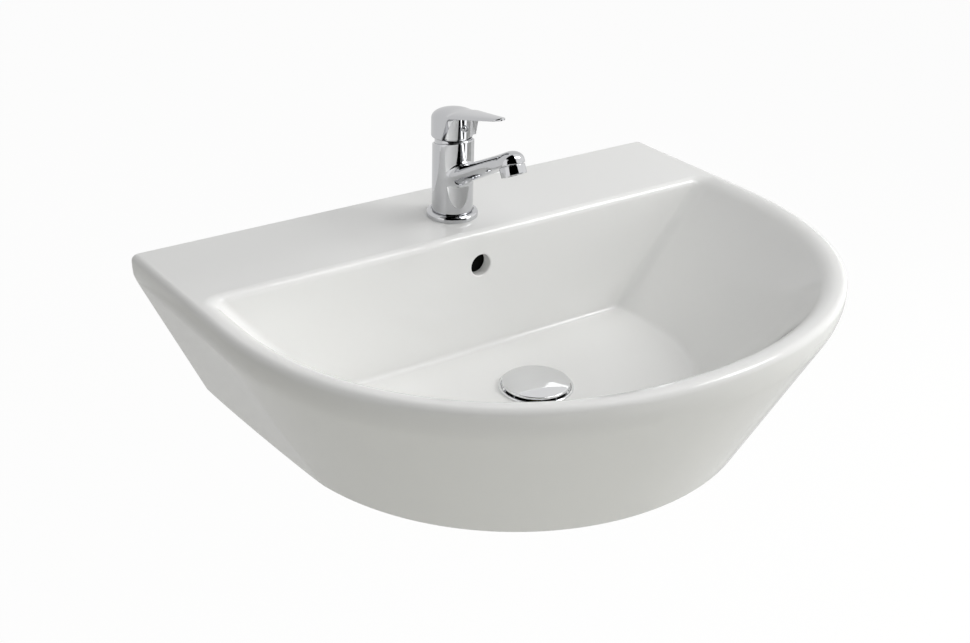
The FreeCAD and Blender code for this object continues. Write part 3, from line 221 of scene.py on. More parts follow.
class TapSizes(bpy.types.PropertyGroup):
    """Sizes of the mixer tap, with heights above the deck."""

    ring_radius: length("Ring radius", "Radius of the base ring", RING_HIGH.x)
    ring_rise: length("Ring rise", "Height of the base ring", RING_HIGH.z - RING_LOW.z)
    body_radius: length("Body radius", "Radius of the upright body", TAP_HIGH.x)
    body_top: length("Body top", "Top of the body on its axis", 0.075)
    top_slope: angle("Top slope", "Rise of the body's top to the front", 13.0)
    socket_radius: length("Socket radius", "Radius of the socket in the body's top", 0.0181)
    socket_floor: length("Socket floor", "Floor of the socket in the body's top", 0.0693)
    edge: length("Edge", "Radius of the body's upper edge", 0.0009)
    spout_z: length("Spout height", "Spout axis where it meets the body's axis", 0.0371)
    spout_rise: angle("Spout rise", "Slope of the spout", 27.5)
    spout_reach: length("Spout reach", "From the body's axis to the outlet", 0.103)
    root_width: length("Root half width", "Half the spout's width at the body", 0.014)
    root_height: length("Root half height", "Half the spout's height at the body", 0.0092)
    end_width: length("End half width", "Half the spout's width at the outlet", 0.0118)
    end_height: length("End half height", "Half the spout's height at the outlet", 0.0070)
    side_blend: length("Side blend", "Radius at the sides of the spout's root", 0.0048)
    top_blend: length("Top blend", "Radius over and under the spout's root", 0.0032)
    head_radius: length("Head radius", "Radius of the spout's rounded head", 0.0127)
    head_above: length("Head above", "Top of the head above the spout axis", 0.0074)
    head_below: length("Head below", "Flat end of the head below the spout axis", 0.0060)
    aerator_radius: length("Outlet radius", "Radius of the outlet ring", 0.0120)
    aerator_length: length("Outlet length", "Length of the outlet ring", 0.0092)
    pivot_z: length("Pivot height", "Centre of the chrome dome", 0.064)
    dome_radius: length("Dome radius", "Radius of the dome under the lever", 0.018)
    dome_mouth: length("Dome mouth", "Radius of the opening in the dome's top", 0.0115)
    dome_wall: length("Dome wall", "Thickness of the dome", 0.0013)
    neck_low: length("Neck foot", "Lower edge of the thin neck", 0.0699)
    neck_top: length("Neck top", "Top of the thin neck between body and lever", 0.0796)
    neck_slope: angle("Neck slope", "Fall of the neck's back, which clears the raised lever", 22.0)
    hood_radius: length("Hood radius", "Radius of the lever's hood", LEVER_HIGH.x)
    hood_base: length("Hood base", "Lower edge of the hood", 0.0805)
    hood_crown: length("Hood crown", "Height of the hood's domed top", 0.00977)
    lever_power: share("Lever fullness", "Power of the oval over the lever's sides", 2.38)
    lever_edge: length("Lever edge", "Radius of the lever's lower edges", 0.0007)
    ridge_z: length("Ridge height", "Level part of the lever's ridge", 0.10639)
    ridge_start: length("Ridge start", "Where the ridge bends upwards, before the axis", 0.00303)
    ridge_bend: length("Ridge bend", "How softly the ridge bends", 0.00929)
    ridge_rise: share("Ridge rise", "Slope of the rising part of the ridge", 0.173)
    window_foot: length("Window foot", "Lower end of the open front", 0.009)
    window_head: length("Window head", "Upper end of the open front", 0.016)
    window_z: length("Window height", "Top of the open front", 0.1035)
    window_round: length("Window round", "Radius at the top of the open front", 0.006)
    hub_radius: length("Hub radius", "Radius of the hub in the open front", 0.0188)
    hub_slope: share("Hub slope", "Rise of the hub's top to the front", 0.13)
    collar_start: length("Collar start", "Back of the lever's collar, ahead of the axis", 0.004)
    collar_radius: length("Collar radius", "Radius of the collar under the hub", 0.0165)
    blade_reach: length("Blade reach", "From the axis to the lever's tip", 0.077)
    blade_tip: length("Blade tip", "Radius of the lever's tip", 0.007)
    blade_middle: length("Blade middle", "Where the blade has become thin", 0.040)
    blade_crown: length("Blade crown", "Height of the blade's rounded top there", 0.0045)
    tip_crown: length("Tip crown", "Height of the rounded top at the tip", 0.0018)
    tip_under: length("Tip underside", "Lower side of the tip", 0.1166)
    index_z: length("Index height", "Centre of the small plug in the hub", 0.092)
    index_radius: length("Index radius", "Radius of the small plug", 0.0038)


class Finishes(bpy.types.PropertyGroup):
    """Colours of the materials."""

    glaze: colour("Glaze", "White glaze", (0.904, 0.905, 0.890))
    # Painted shade: a near-black colour that stands in for the shade inside the overflow duct
    raw: colour("Raw ceramic", "Dark unglazed inside of the overflow", (0.03, 0.03, 0.026))
    chrome: colour("Chrome", "Mirror plate", (0.63, 0.635, 0.65))
    # Painted light: a brighter copy of the chrome that stands in for the brighter reflections on the
    # waste
    waste: colour("Waste", "Brighter plate of the waste", (0.84, 0.845, 0.855))
    brass: colour("Brass", "Machined brass", (0.64, 0.47, 0.22))
    steel: colour("Steel", "Zinc plated steel", (0.52, 0.53, 0.55))
    rubber: colour("Rubber", "Black seals", (0.018, 0.018, 0.019))
    guide_plastic: colour("Guide plastic", "Pale moulded plastic", (0.62, 0.62, 0.60))
    cartridge_plastic: colour("Cartridge plastic", "Grey moulded plastic", (0.10, 0.10, 0.105))
    disc_ceramic: colour("Disc ceramic", "Lapped ceramic", (0.72, 0.69, 0.63))
    index: colour("Index", "Plated plastic plug", (0.56, 0.565, 0.58))


class StageSettings(bpy.types.PropertyGroup):
    """Camera, floor and lamps."""

    camera: bpy.props.FloatVectorProperty(
        name="Camera", description="Place of the camera", size=3, subtype="TRANSLATION",
        unit="LENGTH", default=(-0.7409, -1.1589, 0.6142))
    yaw: angle("Yaw", "Camera's turn to the right", 35.787)
    pitch: angle("Pitch", "Camera's tilt downwards", 26.275)
    roll: angle("Roll", "Camera's roll", 1.617)
    lens: bpy.props.FloatProperty(name="Lens", description="Focal length in millimetres",
                                  default=54.17, min=1.0)
    sensor: bpy.props.FloatProperty(name="Sensor", description="Sensor's width in millimetres",
                                    default=36.0, min=1.0)
    floor_drop: length("Floor drop", "Floor below the wall fixings", 0.77)
    paper: colour("Paper", "Colour of the floor", (0.98, 0.98, 0.92))
    white: share("White", "How far the floor is seen as plain white", 0.96)
    ambient: share("Ambient", "Strength of the light from all round", 0.28)
    key: power("Key", "Power of the lamp high on the right", 13.6)
    overhead: power("Overhead", "Power of the lamp above", 9.2)
    front: power("Front", "Power of the lamp in front", 6.7)
    right: power("Right", "Power of the low lamp on the right", 32.0)
    backdrop: share("Backdrop", "Grey of the backdrop that the chrome reflects", 0.78)
    under: share("Under", "Grey below and behind that the outer wall reflects", 0.62)
    line: share("Line", "Glow of the long light that the deck's edge reflects", 9.0)
    strip: share("Strip", "Glow of the white strip that the chrome reflects", 1.6)


def steps(count):
    """Even shares from 0 up to, and without, 1."""
    return np.arange(count) / count


def ease(value):
    """Smooth step from 0 to 1: three squares less two cubes."""
    value = np.clip(value, 0.0, 1.0)
    return value * value * (3.0 - 2.0 * value)


def strip(name, first=True, last=True):
    """Even shares from 0 to 1 for the rows of one strip, with or without its two end rows."""
    shares = np.linspace(0, 1, ROWS[name])
    return shares[(0 if first else 1):(None if last else -1), None, None]


def mixed(first, second, weight):
    """The first value, plus a weight times the way to the second."""
    return first + (second - first) * weight


def surface(name, points, close_u=True, close_v=False):
    """Mesh of a grid of points: rows are the first axis, and each four neighbours make a face.

    Rows that shrink to a point are welded to a pole, and the faces are turned outwards.
    """
    rows, columns = points.shape[:2]
    index = np.arange(rows * columns).reshape(rows, columns)
    if close_v:
        index = np.concatenate([index, index[:1]], axis=0)
    if close_u:
        index = np.concatenate([index, index[:, :1]], axis=1)
    quads = np.stack([index[:-1, :-1], index[:-1, 1:], index[1:, 1:], index[1:, :-1]], axis=-1)
    mesh = bpy.data.meshes.new(name)
    mesh.from_pydata(points.reshape(-1, 3).tolist(), [], quads.reshape(-1, 4).tolist())
    return welded(mesh)


def welded(mesh):
    """Merges points that lie together, drops faces without area, closes open ends and turns the
    faces outwards."""
    work = bmesh.new()
    work.from_mesh(mesh)
    bmesh.ops.remove_doubles(work, verts=work.verts, dist=1e-7)
    bmesh.ops.dissolve_degenerate(work, dist=1e-8, edges=work.edges)
    holes = [edge for edge in work.edges if edge.is_boundary]
    if holes:
        bmesh.ops.holes_fill(work, edges=holes)
    bmesh.ops.recalc_face_normals(work, faces=work.faces)
    work.to_mesh(mesh)
    work.free()
    return mesh


def piece(name, mesh, body, nodes, slot, sharp=35.0, look=None):
    """Places a finished mesh in the scene, on its body and in place of its solids."""
    thing = bpy.data.objects.new(name, mesh)
    bpy.context.scene.collection.objects.link(thing)
    dress(thing, look or slot)
    smooth(mesh, sharp)
    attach(thing, body)
    if nodes:
        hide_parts(*nodes)
    return thing


def smooth(mesh, sharp):
    """Smooth shading, apart from edges sharper than an angle in degrees."""
    mesh.shade_smooth()
    mesh.set_sharp_from_angle(angle=math.radians(sharp))


def joined(mesh, tool, operation):
    """Union or difference of two closed meshes, as a new mesh; the second is dropped."""
    first = bpy.data.objects.new("work", mesh)
    second = bpy.data.objects.new("tool", tool)
    for thing in (first, second):
        bpy.context.scene.collection.objects.link(thing)
    step = first.modifiers.new("join", "BOOLEAN")
    step.operation = operation
    step.solver = "MANIFOLD"
    step.object = second
    bpy.context.view_layer.update()
    graph = bpy.context.evaluated_depsgraph_get()
    shaped = bpy.data.meshes.new_from_object(first.evaluated_get(graph))
    shaped.name = mesh.name
    for thing in (first, second):
        bpy.data.objects.remove(thing)
    bpy.data.meshes.remove(tool)
    if len(shaped.polygons) == 0:
        raise RuntimeError("nothing is left of " + shaped.name)
    return shaped


def box(low, high):
    """Closed box between two corners, drawn as a square profile run from end to end."""
    low, high = np.array(low), np.array(high)
    square = np.array([[0, 0], [1, 0], [1, 1], [0, 1]], float)
    ends = np.array([0.0, 1.0])
    grid = np.zeros((2, 4, 3))
    grid[..., :2] = square
    grid[..., 2] = ends[:, None]
    return surface("box", low + grid * (high - low))


def softened(rows, count=6):
    """Closed profile whose corners are arcs. A row holds a corner's two coordinates and its
    radius, and the arc runs between the points that lie a tangent's length, radius over the
    tangent of half the corner, from the corner."""
    rows = np.array(rows, float)
    corners = rows[:, :2]
    arcs = []
    for here, before, after, radius in zip(corners, np.roll(corners, 1, 0),
                                           np.roll(corners, -1, 0), rows[:, 2]):
        if radius == 0:
            arcs.append(here[None])
            continue
        back = (before - here) / np.linalg.norm(before - here)
        on = (after - here) / np.linalg.norm(after - here)
        half = math.acos(np.clip(back @ on, -1, 1)) / 2
        reach = radius / math.tan(half)
        middle = here + (back + on) / np.linalg.norm(back + on) * radius / math.sin(half)
        first = here + back * reach - middle
        last = here + on * reach - middle
        turn = math.pi - 2 * half
        t = np.linspace(0, 1, count + 1)[:, None]
        arcs.append(middle + (np.sin((1 - t) * turn) * first + np.sin(t * turn) * last)
                    / math.sin(turn))
    return np.concatenate(arcs)


def revolved(profile, count=ROUND_STEPS):
    """Grid of a turned shape about its own upright axis: radius times cosine and sine of the
    turn, and the profile's height."""
    turn = 2 * math.pi * steps(count)
    radius, height = profile[:, :1], profile[:, 1:]
    return np.stack([radius * np.cos(turn), radius * np.sin(turn),
                     np.broadcast_to(height, (len(profile), count))], axis=-1)


def tilted(points, turn, place):
    """Points turned about the level X axis, then moved to a place."""
    cos, sin = math.cos(turn), math.sin(turn)
    spin = np.array([[1, 0, 0], [0, cos, -sin], [0, sin, cos]])
    return points @ spin.T + np.array(place)


def ring_of(name, rows, place):
    """Closed turned piece: a softened profile of radius and height, moved to its place."""
    return surface(name, revolved(softened(rows)) + np.array(place), close_v=True)


def rod(radius, low, high):
    """Grid of a plain round bar about its own upright axis, closed at both ends."""
    return revolved(np.array([[0, low], [radius, low], [radius, high], [0, high]]))


def arc_line(radius, turns, up=0.0):
    """Profile along a circle about the axis: its radius times cosine and sine of the turns."""
    return np.stack([radius * np.cos(turns), up + radius * np.sin(turns)], -1)


def coil(radius, wire, low, high, turns):
    """Grid of a wire wound about an upright axis: its line turns and rises evenly at one radius,
    and a circle of the wire's width stands round it, square to the line."""
    along = np.linspace(0, 1, COIL_STEPS * turns + 1)
    turn = 2 * math.pi * turns * along
    flat = np.zeros_like(turn)
    outwards = np.stack([np.cos(turn), np.sin(turn), flat], -1)
    rise = (high - low) / (2 * math.pi * turns * radius)
    ahead = np.stack([-np.sin(turn), np.cos(turn), flat + rise], -1) / math.hypot(1, rise)
    across = np.cross(outwards, ahead)
    line = radius * outwards + np.stack([flat, flat, mixed(low, high, along)], -1)
    around = 2 * math.pi * steps(WIRE_STEPS)[:, None]
    return line[:, None] + wire / 2 * (np.cos(around) * outwards[:, None]
                                       + np.sin(around) * across[:, None])


def cubic(poles, t):
    """Cubic curve: its four poles weighted by the cubic terms of t and 1 - t."""
    t = t[:, None]
    s = 1.0 - t
    return (s ** 3 * poles[0] + 3 * t * s ** 2 * poles[1]
            + 3 * t ** 2 * s * poles[2] + t ** 3 * poles[3])


def outline(half, back, side, front, shares, corner, taper=0.0, turn=0.0):
    """Closed D in plan: a cubic side and a cubic half nose on the right, their mirror images
    on the left, two quarter circles and a straight back. It runs right, front, left, back."""
    flank_start, flank_end = 0.33, 0.1
    joint = half - taper
    reach = shares[0] * (front - side)
    bend = reach * np.array([math.sin(turn), math.cos(turn)])
    start = -back - corner
    flank = np.array([[half, start], [half, start - flank_start * (side + start)],
                      [joint + flank_end * bend[0], -side + flank_end * bend[1]],
                      [joint, -side]])
    nose = np.array([[joint, -side], [joint - bend[0], -side - bend[1]],
                     [shares[1] * joint, -front], [0.0, -front]])
    mirror = np.array([-1.0, 1.0])
    quarter = steps(CORNER_STEPS) * math.pi / 2
    inner = half - corner
    left = np.stack([-inner - corner * np.cos(quarter), start + corner * np.sin(quarter)], -1)
    right = np.stack([inner + corner * np.sin(quarter), start + corner * np.cos(quarter)], -1)
    across = np.stack([inner * (2 * steps(BACK_STEPS) - 1),
                       np.full(BACK_STEPS, -back)], -1)
    return np.concatenate([
        cubic(flank, steps(SIDE_STEPS)),
        cubic(nose, steps(NOSE_STEPS)),
        cubic(nose, 1 - steps(NOSE_STEPS)) * mirror,
        cubic(flank, 1 - steps(SIDE_STEPS)) * mirror,
        left,
        across,
        right,
    ])


def outward(loop):
    """Unit normals of a closed plan line, square to the chord between both neighbours."""
    chord = np.roll(loop, -1, 0) - np.roll(loop, 1, 0)
    normal = np.stack([-chord[:, 1], chord[:, 0]], -1)
    return normal / np.linalg.norm(normal, axis=1, keepdims=True)


def at_heights(plan, heights):
    """Rows of points from plan places and heights that fit each other."""
    heights = np.broadcast_to(heights, plan.shape[:-1])
    return np.concatenate([plan, heights[..., None]], axis=-1)


def backness():
    """One along the straight back of an outline, none along its sides and front."""
    run = 2 * SIDE_STEPS + 2 * NOSE_STEPS
    corner = ease(steps(CORNER_STEPS))
    return np.concatenate([np.zeros(run), corner, np.ones(BACK_STEPS), corner[::-1]])


def shell_rows(size):
    """Rows of the whole shell, from the waste hole up the bowl, over the rim, down the outside,
    under the foot and back along the underside to the waste hole.

    A wall runs between two outlines at two heights, and its lean is the distance between them
    along the normal. Each round is an arc in the plane of that normal and the upright, tangent
    to both faces that it joins.
    """
    rim, foot = DECK_Z, BASIN_LOW.z
    floor = foot + size.floor_lift
    band = rim - size.band
    full = (size.fullness, size.fullness)
    floor_full = (size.floor_fullness, size.floor_fullness)
    mouth_half = size.half_width - size.lip
    mouth_front = size.depth - size.lip
    foot_full = (size.foot_fullness, size.foot_nose)

    def rim_line(inset, back=0.0, corner=size.back_edge):
        """Outside of the rim, moved in."""
        return outline(size.half_width - inset, back, size.side, size.depth - inset, full, corner)

    def foot_line(inset, back=0.0, corner=size.back_edge):
        """Outside of the foot, moved in."""
        return outline(size.half_width - size.foot_draw - inset, back, size.foot_side,
                       size.depth - size.foot_front_draw - inset, foot_full, corner,
                       size.foot_taper, size.foot_turn)

    def mouth_line(grow):
        """Edge of the bowl at the rim, moved out."""
        return outline(mouth_half + grow, size.deck_depth - grow, size.side, mouth_front + grow,
                       full, size.bowl_corner + grow)

    def floor_line(grow):
        """Edge of the bowl's floor, moved out."""
        return outline(mouth_half - size.bowl_draw + grow, size.deck_depth - grow,
                       size.floor_side, mouth_front - size.bowl_front_draw + grow, floor_full,
                       size.bowl_corner + grow)

    at_back = backness()
    centre = np.array([0.0, WASTE_Y])
    low, high = floor_line(0.0), mouth_line(0.0)
    height = rim - floor
    rows = []

    def bowl_wall(plan):
        """Normal, slope and sideways drift of the bowl's wall along a plan line."""
        normal = outward(plan)
        lean = ((high - low) * normal).sum(1)
        return normal, np.arctan2(height, lean), (high - low) - lean[:, None] * normal

    # Floor and its round
    normal, slope, drift = bowl_wall(low)
    radius = mixed(size.floor_side_round, size.floor_round, at_back)
    reach = radius * np.tan(slope / 2)
    fillet_start = low - normal * reach[:, None]
    spoke = fillet_start - centre
    spoke = spoke / np.linalg.norm(spoke, axis=1, keepdims=True)
    hole = centre + spoke * size.waste_rebate / 2
    rows.append(at_heights(mixed(hole, fillet_start, strip("floor", last=False)), floor))
    t = strip("fillet")[..., 0]
    turn = t * slope
    rise = radius * (1 - np.cos(turn))
    aside = radius * np.sin(turn) - reach
    rows.append(at_heights(low + normal * aside[..., None] + drift * (rise / height)[..., None],
                           floor + rise))
    wall_low = rows[-1][-1]

    # Bowl edge and deck
    normal, slope, drift = bowl_wall(high)
    radius = mixed(size.mouth_round, size.deck_round, at_back)
    reach = radius * np.tan(slope / 2)
    turn = (1 - t) * slope
    drop = radius * (1 - np.cos(turn))
    aside = reach - radius * np.sin(turn)
    edge = at_heights(high + normal * aside[..., None] - drift * (drop / height)[..., None],
                      rim - drop)
    rows.append(mixed(wall_low, edge[0], strip("bowl", False, False)))
    rows.append(edge)
    rim_inner = at_heights(rim_line(size.rim_round, size.back_edge), rim)
    rows.append(mixed(edge[-1], rim_inner, strip("deck", False, False)))

    # Rim round, upright band and leaning wall
    for turn in np.linspace(0, math.pi / 2, ROWS["rim"]):
        inset = size.rim_round * (1 - math.sin(turn))
        back = size.back_edge * (1 - math.sin(turn))
        drop = size.rim_round * (1 - math.cos(turn))
        rows.append(at_heights(rim_line(inset, back), rim - drop)[None])
    top, bottom = rim_line(0.0), foot_line(0.0)
    wall_height = band - foot
    normal = outward(top)
    lean = ((top - bottom) * normal).sum(1)
    drift = (bottom - top) + lean[:, None] * normal
    slope = np.arctan2(lean, wall_height)
    reach = size.band_round * np.tan(slope / 2)

    def wall_row(aside, heights):
        """Row on the outer wall: the rim's line moved sideways and drawn in as it sinks."""
        sunk = (band - heights) / wall_height
        return at_heights(top + normal * aside[..., None] + drift * np.clip(sunk, 0, 1)[..., None],
                          heights)

    turn = strip("band_round")[..., 0] * slope
    band_arc = wall_row(size.band_round * (np.cos(turn) - 1),
                        band + reach - size.band_round * np.sin(turn))
    rows.append(mixed(rows[-1][-1], band_arc[0], strip("band", False, False)))
    rows.append(band_arc)
    reach = size.foot_round * np.tan((math.pi / 2 - slope) / 2)
    turn = slope + strip("foot_round")[..., 0] * (math.pi / 2 - slope)
    start = -lean + reach * np.sin(slope) - size.foot_round * np.cos(slope)
    level = foot + reach * np.cos(slope) + size.foot_round * np.sin(slope)
    foot_arc = wall_row(start + size.foot_round * np.cos(turn),
                        level - size.foot_round * np.sin(turn))
    rows.append(mixed(band_arc[-1], foot_arc[0], strip("outside", False, False)))
    rows.append(foot_arc)

    # Inside of the outer wall, underside of the deck and outside of the bowl
    inner_corner = 3 * size.back_edge
    inner_foot = at_heights(foot_line(size.shell, size.back_plate, inner_corner), foot)
    inner_band = at_heights(rim_line(size.shell, size.back_plate, inner_corner), band)
    under = rim - size.deck_thick
    inner_top = inner_band + np.array([0, 0, under - band])
    outer_high, outer_low = mouth_line(size.shell), floor_line(size.shell)
    sunk = size.deck_thick / (height + size.shell)
    bowl_top = at_heights(mixed(outer_high, outer_low, sunk), under)
    bowl_low = at_heights(outer_low, floor - size.shell)
    tall, short = strip("inside", last=False), strip("short", last=False)
    rows.append(mixed(inner_foot, inner_band, tall))
    rows.append(mixed(inner_band, inner_top, short))
    rows.append(mixed(inner_top, bowl_top, short))
    rows.append(mixed(bowl_top, bowl_low, tall))

    # Floor's underside, boss and the stepped waste hole
    def circle(width, z):
        """Circle about the waste, with a point on each spoke."""
        return at_heights(centre + spoke * width / 2, z)

    boss = circle(size.waste_boss, floor - size.shell)
    rebate = floor - size.rebate_depth
    rows.append(mixed(bowl_low, boss, short))
    rows.append(mixed(boss, circle(size.waste_boss, foot), short))
    rows.append(np.stack([circle(size.waste_boss, foot), circle(size.waste_hole, foot),
                          circle(size.waste_hole, rebate), circle(size.waste_rebate, rebate)]))
    return np.concatenate(rows)


def shade_inside(mesh, low, high):
    """Marks the faces that line a box, such as a duct, for painted shade: a near-black colour
    standing in for the shade inside.
    """
    middles = np.empty(3 * len(mesh.polygons))
    mesh.polygons.foreach_get("center", middles)
    middles = middles.reshape(-1, 3)
    slack = 1e-4
    lining = np.all((middles > np.array(low) - slack) & (middles < np.array(high) + slack), axis=1)
    shade_mark = mesh.attributes.new("raw", "FLOAT", "FACE")
    shade_mark.data.foreach_set("value", lining.astype(np.float32))


class BASIN_OT_shell(bpy.types.Operator):
    """Glazed shell with its bowl, overflow, tap hole and open underside"""

    bl_idname = "basin.shell"
    bl_label = "Glazed shell"

    def execute(self, context):
        size = context.scene.basin_sizes
        mesh = surface("basin_shell", shell_rows(size), close_v=True)
        back = -size.deck_depth
        foot = BASIN_LOW.z
        front = back + size.shell
        inner = size.duct_width / 2
        outer = inner + size.duct_wall
        behind = front + size.duct_depth
        head = DECK_Z - size.overflow_drop + size.duct_head
        channel = foot + size.duct_wall
        roof = channel + size.duct_rise
        wall = size.duct_wall
        skin = size.shell / 2
        end = WASTE_Y + size.waste_hole / 2 + size.duct_end
        duct_low, duct_high = (-inner, front, channel), (inner, behind, head)
        for low, high, operation in (
                ((-outer, front - skin, foot), (outer, behind + wall, head + wall), "UNION"),
                ((-outer, end, foot), (outer, behind, roof + wall), "UNION"),
                (duct_low, duct_high, "DIFFERENCE"),
                ((-inner, WASTE_Y, channel), (inner, front + OVERRUN, roof), "DIFFERENCE")):
            mesh = joined(mesh, box(low, high), operation)
        radius = size.overflow_width / 2
        depth = size.shell + size.duct_depth / 2
        soft = size.overflow_round
        turn = np.linspace(0, math.pi / 2, EDGE_STEPS)
        flare = np.stack([radius + soft * (1 - np.cos(turn)), -soft + soft * np.sin(turn)], -1)
        profile = np.concatenate([[[0.0, -depth], [radius, -depth]], flare,
                                  [[radius + soft, OVERRUN], [0.0, OVERRUN]]])
        cutter = tilted(revolved(profile), math.pi / 2, (0, back, DECK_Z - size.overflow_drop))
        mesh = joined(mesh, surface("hole", cutter), "DIFFERENCE")
        below_deck, into_plate = 0.03, 0.02
        tap = rod(size.tap_hole / 2, -below_deck, OVERRUN)
        mesh = joined(mesh, surface("hole", tap + np.array([0, TAP_Y, DECK_Z])), "DIFFERENCE")
        stud = rod(size.fixing_hole / 2, -OVERRUN, into_plate)
        for side in (-1, 1):
            place = (side * size.fixing_spacing / 2, 0, 0)
            mesh = joined(mesh, surface("hole", tilted(stud, math.pi / 2, place)), "DIFFERENCE")
        gap = box((-size.gap_width / 2, -size.back_plate - OVERRUN, foot - OVERRUN),
                  (size.gap_width / 2, OVERRUN, foot + size.gap_rise))
        mesh = joined(mesh, gap, "DIFFERENCE")
        # Painted shade: the duct's lining is marked for a near-black colour in place of its shade
        shade_inside(mesh, duct_low, duct_high)
        shell = piece("basin_shell", mesh, "fixed", ["basin"], "glaze", sharp=40.0)
        step = shell.modifiers.new("even normals", "WEIGHTED_NORMAL")
        step.keep_sharp = True
        step.weight = 100
        return {"FINISHED"}


class BASIN_OT_waste(bpy.types.Operator):
    """Chrome flange with its tail, the domed cap and the spring under it"""

    bl_idname = "basin.waste"
    bl_label = "Waste flange and cap"

    def execute(self, context):
        size = context.scene.waste_sizes
        foot = BASIN_LOW.z
        floor = foot + context.scene.basin_sizes.floor_lift
        place = np.array([0, WASTE_Y, 0])
        edge, top, end = FLANGE_HIGH.x, FLANGE_HIGH.z, FLANGE_LOW.z
        cup = edge - size.lip
        wall = cup + size.cup_wall
        tail, bore = size.tail_radius, size.bore_radius
        base = floor - size.cup_drop
        cup_floor = base + size.cup_floor
        groove = tail - size.groove_depth
        groove_low, groove_high = end + size.groove_low, end + size.groove_high
        ledge, ledge_bore = foot - size.ledge_drop, bore - size.ledge_width
        # Rows of radius, height and edge radius
        mesh = ring_of("waste_flange", [
            (bore, cup_floor, 0.0006), (cup, cup_floor, 0.0006), (cup, top, 0.0008),
            (edge, top, 0.0009), (edge, floor, 0.0003), (wall, floor, 0), (wall, base, 0),
            (tail, base, 0), (tail, groove_high, 0.0002), (groove, groove_high, 0),
            (groove, groove_low, 0), (tail, groove_low, 0.0002), (tail, end, 0.0008),
            (ledge_bore, end, 0.0004), (ledge_bore, ledge, 0.0003), (bore, ledge, 0)], place)
        half, outside = size.slot_width / 2, 0.04
        for quarter in range(4):
            slot = box((-half, 0.0, foot + size.slot_low), (half, outside, foot + size.slot_high))
            slot.transform(Matrix.Translation(place)
                           @ Matrix.Rotation(quarter * math.pi / 2, 4, "Z"))
            mesh = joined(mesh, slot, "DIFFERENCE")
        # Painted light: the flange takes the brighter copy of the chrome in place of brighter
        # reflections
        piece("waste_flange", mesh, "fixed", ["waste_body"], "chrome", look="waste")

        radius, crown, soft = CAP_HIGH.x, size.crown, size.cap_edge
        rim = CAP_HIGH.z - crown
        sphere = (radius ** 2 + crown ** 2) / (2 * crown)
        arc = np.linspace(0, 1, ARC_STEPS)[:, None] * (radius - soft)
        dome = np.concatenate([arc, CAP_HIGH.z - sphere + np.sqrt(sphere ** 2 - arc ** 2)], 1)
        dome_end = 0.12
        turn = np.linspace(dome_end, math.pi / 2, EDGE_STEPS - 1)[:, None]
        shoulder = np.concatenate([radius - soft + soft * np.sin(turn),
                                   dome[-1, 1] - soft + soft * np.cos(turn)], 1)
        skirt, under, bevel = rim - size.cap_skirt, rim - size.cap_wall, 0.0003
        inside = radius - size.cap_wall
        rib, socket = under - size.rib_drop, under - size.socket_drop
        hollow = np.array([
            (radius, skirt + bevel), (radius - bevel, skirt), (inside, skirt), (inside, under),
            (size.rib_outer, under), (size.rib_outer, rib), (size.rib_inner, rib),
            (size.rib_inner, under), (size.socket_outer, under), (size.socket_outer, socket),
            (size.socket_bore, socket), (size.socket_bore, under), (0.0, under)])
        profile = np.concatenate([dome, shoulder, hollow])
        cap = surface("plug_cap", revolved(profile, FINE_STEPS) + place)
        # Painted light: the cap takes the brighter copy of the chrome in place of brighter
        # reflections
        piece("plug_cap", cap, "plug", ["waste_cap"], "chrome", look="waste")

        low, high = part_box("click_spring")
        half = size.wire / 2
        winding = coil(high.x - half, size.wire, low.z + half, high.z - half, size.turns)
        spring = surface("waste_spring", winding + place)
        spring = piece("waste_spring", spring, "fixed", ["click_spring"], "steel")
        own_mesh(spring)
        return {"FINISHED"}


